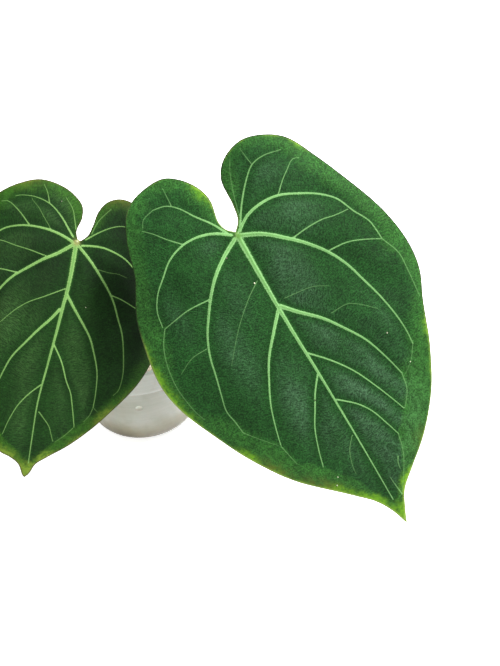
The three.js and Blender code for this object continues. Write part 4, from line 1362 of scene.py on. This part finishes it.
def build_stalk(side, leaf, material):
    _, _, normal = leaf_basis(leaf)
    normal = np.array(normal)
    junction = np.array(leaf["junction"], float)
    outward = np.array([junction[0], junction[1], 0.0])
    outward /= np.linalg.norm(outward)
    angle = math.radians(leaf["foot_angle"])
    foot = np.array([math.cos(angle), math.sin(angle), 0]) * STALK_FOOT_OFFSET
    foot[2] = STEM_TOP + SEAT_GAP
    top = junction - normal * STALK_TOP_DEPTH
    neck = junction - normal * (STALK_TOP_DEPTH + KNUCKLE_LENGTH)
    rise = neck[2] - foot[2]
    lower = foot + outward * STALK_LEAN
    lower[2] = foot[2] + STALK_LOWER_BEND_HEIGHT * rise
    middle = foot + STALK_MIDDLE_BEND_REACH * (neck - foot)
    middle[2] = foot[2] + STALK_MIDDLE_BEND_HEIGHT * rise
    line = evenly(spline([foot, lower, middle, neck, top], 40), 1.0)
    line = np.vstack([line[0] - [0, 0, STALK_ROOTING], line, junction - normal * 0.1])
    travelled = np.concatenate([[0], np.cumsum(np.linalg.norm(np.diff(line, axis=0), axis=1))])
    share = travelled / travelled[-1]
    from_top = travelled[-1] - travelled
    half = KNUCKLE_LENGTH / 2
    swell = np.exp(-(((from_top - STALK_TOP_DEPTH - half) / half) ** 2))
    slender = STALK_FOOT_RADIUS + (STALK_NECK_RADIUS - STALK_FOOT_RADIUS) * np.minimum(1, 3 * share)
    wrinkle = 0.04 * np.sin(travelled * 3.1) * swell
    radii = slender + (KNUCKLE_RADIUS - STALK_NECK_RADIUS) * swell + wrinkle
    radii = radii - 0.4 * np.exp(-((from_top / 1.2) ** 2))
    vertices, faces = swept(line, even_frames(line), radii, STALK_SIDES, STALK_FLUTE_DEPTH)
    piece = new_piece(f"stalk_{side}", vertices, faces, [material], f"petiole_{side}")
    add_number(piece.data, "reach", np.repeat(share, STALK_SIDES))


def sheath_vertices(middle):
    """The outer and then the inner side of a papery sheath round the stem, row by row."""
    sheet = []
    for face in (1, -1):
        for row in range(SHEATH_ROWS + 1):
            up = row / SHEATH_ROWS
            narrowing = math.sqrt(1 - up * up * 0.97)
            height = STEM_TOP - SHEATH_ROOTING + SHEATH_HEIGHT * up
            lean = SHEATH_LEAN * max(0, (height - STEM_TOP) / SHEATH_HEIGHT) ** 2
            thickness = face * SHEATH_THICKNESS / 2 * (1 - 0.6 * up)
            for column in range(SHEATH_COLUMNS + 1):
                across = column / SHEATH_COLUMNS
                angle = middle + (across - 0.5) * SHEATH_SPAN * narrowing
                pleat = 0.14 * math.sin(across * 46) * (0.4 + up)
                frayed = 0.7 * noise.noise(Vector((across * 9, up * 3, middle))) * up * up
                radius = STEM_RADIUS + SHEATH_CLEARANCE + lean + thickness + pleat + frayed
                sheet.append((radius * math.cos(angle), radius * math.sin(angle), height))
    return sheet


def sheath_faces(first):
    """Faces over both sides and the four edges of a sheath whose vertices start at the index."""
    row_length = SHEATH_COLUMNS + 1
    back = (SHEATH_ROWS + 1) * row_length
    faces = []
    for row in range(SHEATH_ROWS):
        for column in range(SHEATH_COLUMNS):
            a = first + row * row_length + column
            b, c, d = a + 1, a + row_length + 1, a + row_length
            faces.append([a, b, c, d])
            faces.append([d + back, c + back, b + back, a + back])
    for row in range(SHEATH_ROWS):
        a = first + row * row_length
        b = a + row_length
        faces.append([a, b, b + back, a + back])
        a += SHEATH_COLUMNS
        b += SHEATH_COLUMNS
        faces.append([b, a, a + back, b + back])
    for column in range(SHEATH_COLUMNS):
        a = first + column
        b = a + SHEATH_ROWS * row_length
        faces.append([a + 1, a, a + back, a + 1 + back])
        faces.append([b, b + 1, b + 1 + back, b + back])
    return faces


def build_stem(materials):
    heights = np.linspace(STEM_BOTTOM, STEM_TOP, STEM_STEPS + 1)
    phase = ((heights - STEM_BOTTOM) % STEM_NODE_SPACING) / STEM_NODE_SPACING
    ring = np.exp(-(((phase - 0.75) / 0.1) ** 2))
    radii = STEM_RADIUS + STEM_NODE_SWELL * (0.3 * phase + 0.7 * ring)
    radii[-3:] *= (0.985, 0.95, 0.88)
    middle = np.zeros(STEM_STEPS + 1)
    stations = np.column_stack([middle, middle, heights])
    frames = [(np.array([1.0, 0, 0]), np.array([0, 1.0, 0]))] * (STEM_STEPS + 1)
    vertices, faces = swept(stations, frames, radii, STEM_SIDES)
    for i, (x, y, z) in enumerate(vertices):
        bump = STEM_LUMP * noise.noise(Vector((x / 2, y / 2, z / 3)))
        vertices[i, :2] *= 1 + bump / STEM_RADIUS
    face_materials = [0] * len(faces)
    for angle in SHEATH_ANGLES:
        made = sheath_faces(len(vertices))
        vertices = np.vstack([vertices, sheath_vertices(angle)])
        faces += made
        face_materials += [1] * len(made)
    new_piece("short_stem", vertices, faces, materials, "stem", face_materials)


# Floor, light and camera


def build_key_light():
    data = bpy.data.lights.new("key", "AREA")
    data.shape = "DISK"
    data.size = KEY_SIZE
    data.energy = KEY_POWER
    lamp = bpy.data.objects.new("key", data)
    bpy.context.scene.collection.objects.link(lamp)
    lamp.location = KEY_PLACE
    lamp.rotation_mode = "QUATERNION"
    lamp.rotation_quaternion = (Vector(KEY_TARGET) - Vector(KEY_PLACE)).to_track_quat("-Z", "Y")


def build_stage():
    shade = Shade("pale_floor")
    colour = shade.mix(shade.noise(9, 2.0), (0.92, 0.92, 0.92), (0.94, 0.94, 0.94))
    shade.constant(Specular_IOR_Level=0.1)
    shade.constant(Emission_Color=(1.0, 1.0, 1.0), Emission_Strength=FLOOR_GLOW)
    material = shade.finish(colour, 0.9)
    mesh = bpy.data.meshes.new("floor")
    corners = [(x * FLOOR_REACH, y * FLOOR_REACH, 0) for x, y in ((-1, -1), (1, -1), (1, 1), (-1, 1))]
    mesh.from_pydata(corners, [], [[0, 1, 2, 3]])
    mesh.materials.append(material)
    floor = bpy.data.objects.new("floor", mesh)
    bpy.context.scene.collection.objects.link(floor)
    world = bpy.data.worlds.new("studio")
    world.use_nodes = True
    background = next(node for node in world.node_tree.nodes if node.type == "BACKGROUND")
    background.inputs["Color"].default_value = (1, 1, 1, 1)
    background.inputs["Strength"].default_value = 1.0
    bpy.context.scene.world = world
    bpy.context.scene.view_settings.view_transform = "Standard"


def build_camera():
    data = bpy.data.cameras.new("camera")
    data.sensor_width = SENSOR
    data.sensor_fit = "AUTO"
    data.lens = FOCAL_PIXELS / IMAGE_HEIGHT * SENSOR
    data.clip_start = 0.01
    data.clip_end = 50
    camera = bpy.data.objects.new("camera", data)
    bpy.context.scene.collection.objects.link(camera)
    camera.location = [value * MM for value in CAMERA_PLACE]
    camera.rotation_euler = (math.radians(90 - CAMERA_PITCH), 0, 0)
    bpy.context.scene.camera = camera


underside = underside_material()
speck = speck_material()
for side, leaf in LEAVES.items():
    build_leaf(side, leaf, [velvet_material(side, leaf["palette"]), underside, speck])
    build_stalk(side, leaf, stalk_material(side, leaf["palette"]))
build_stem([stem_material(), sheath_material()])
build_mix([fines_material(), bark_material(), pumice_material()])
build_pot(pot_material())
build_stage()
build_key_light()
build_camera()
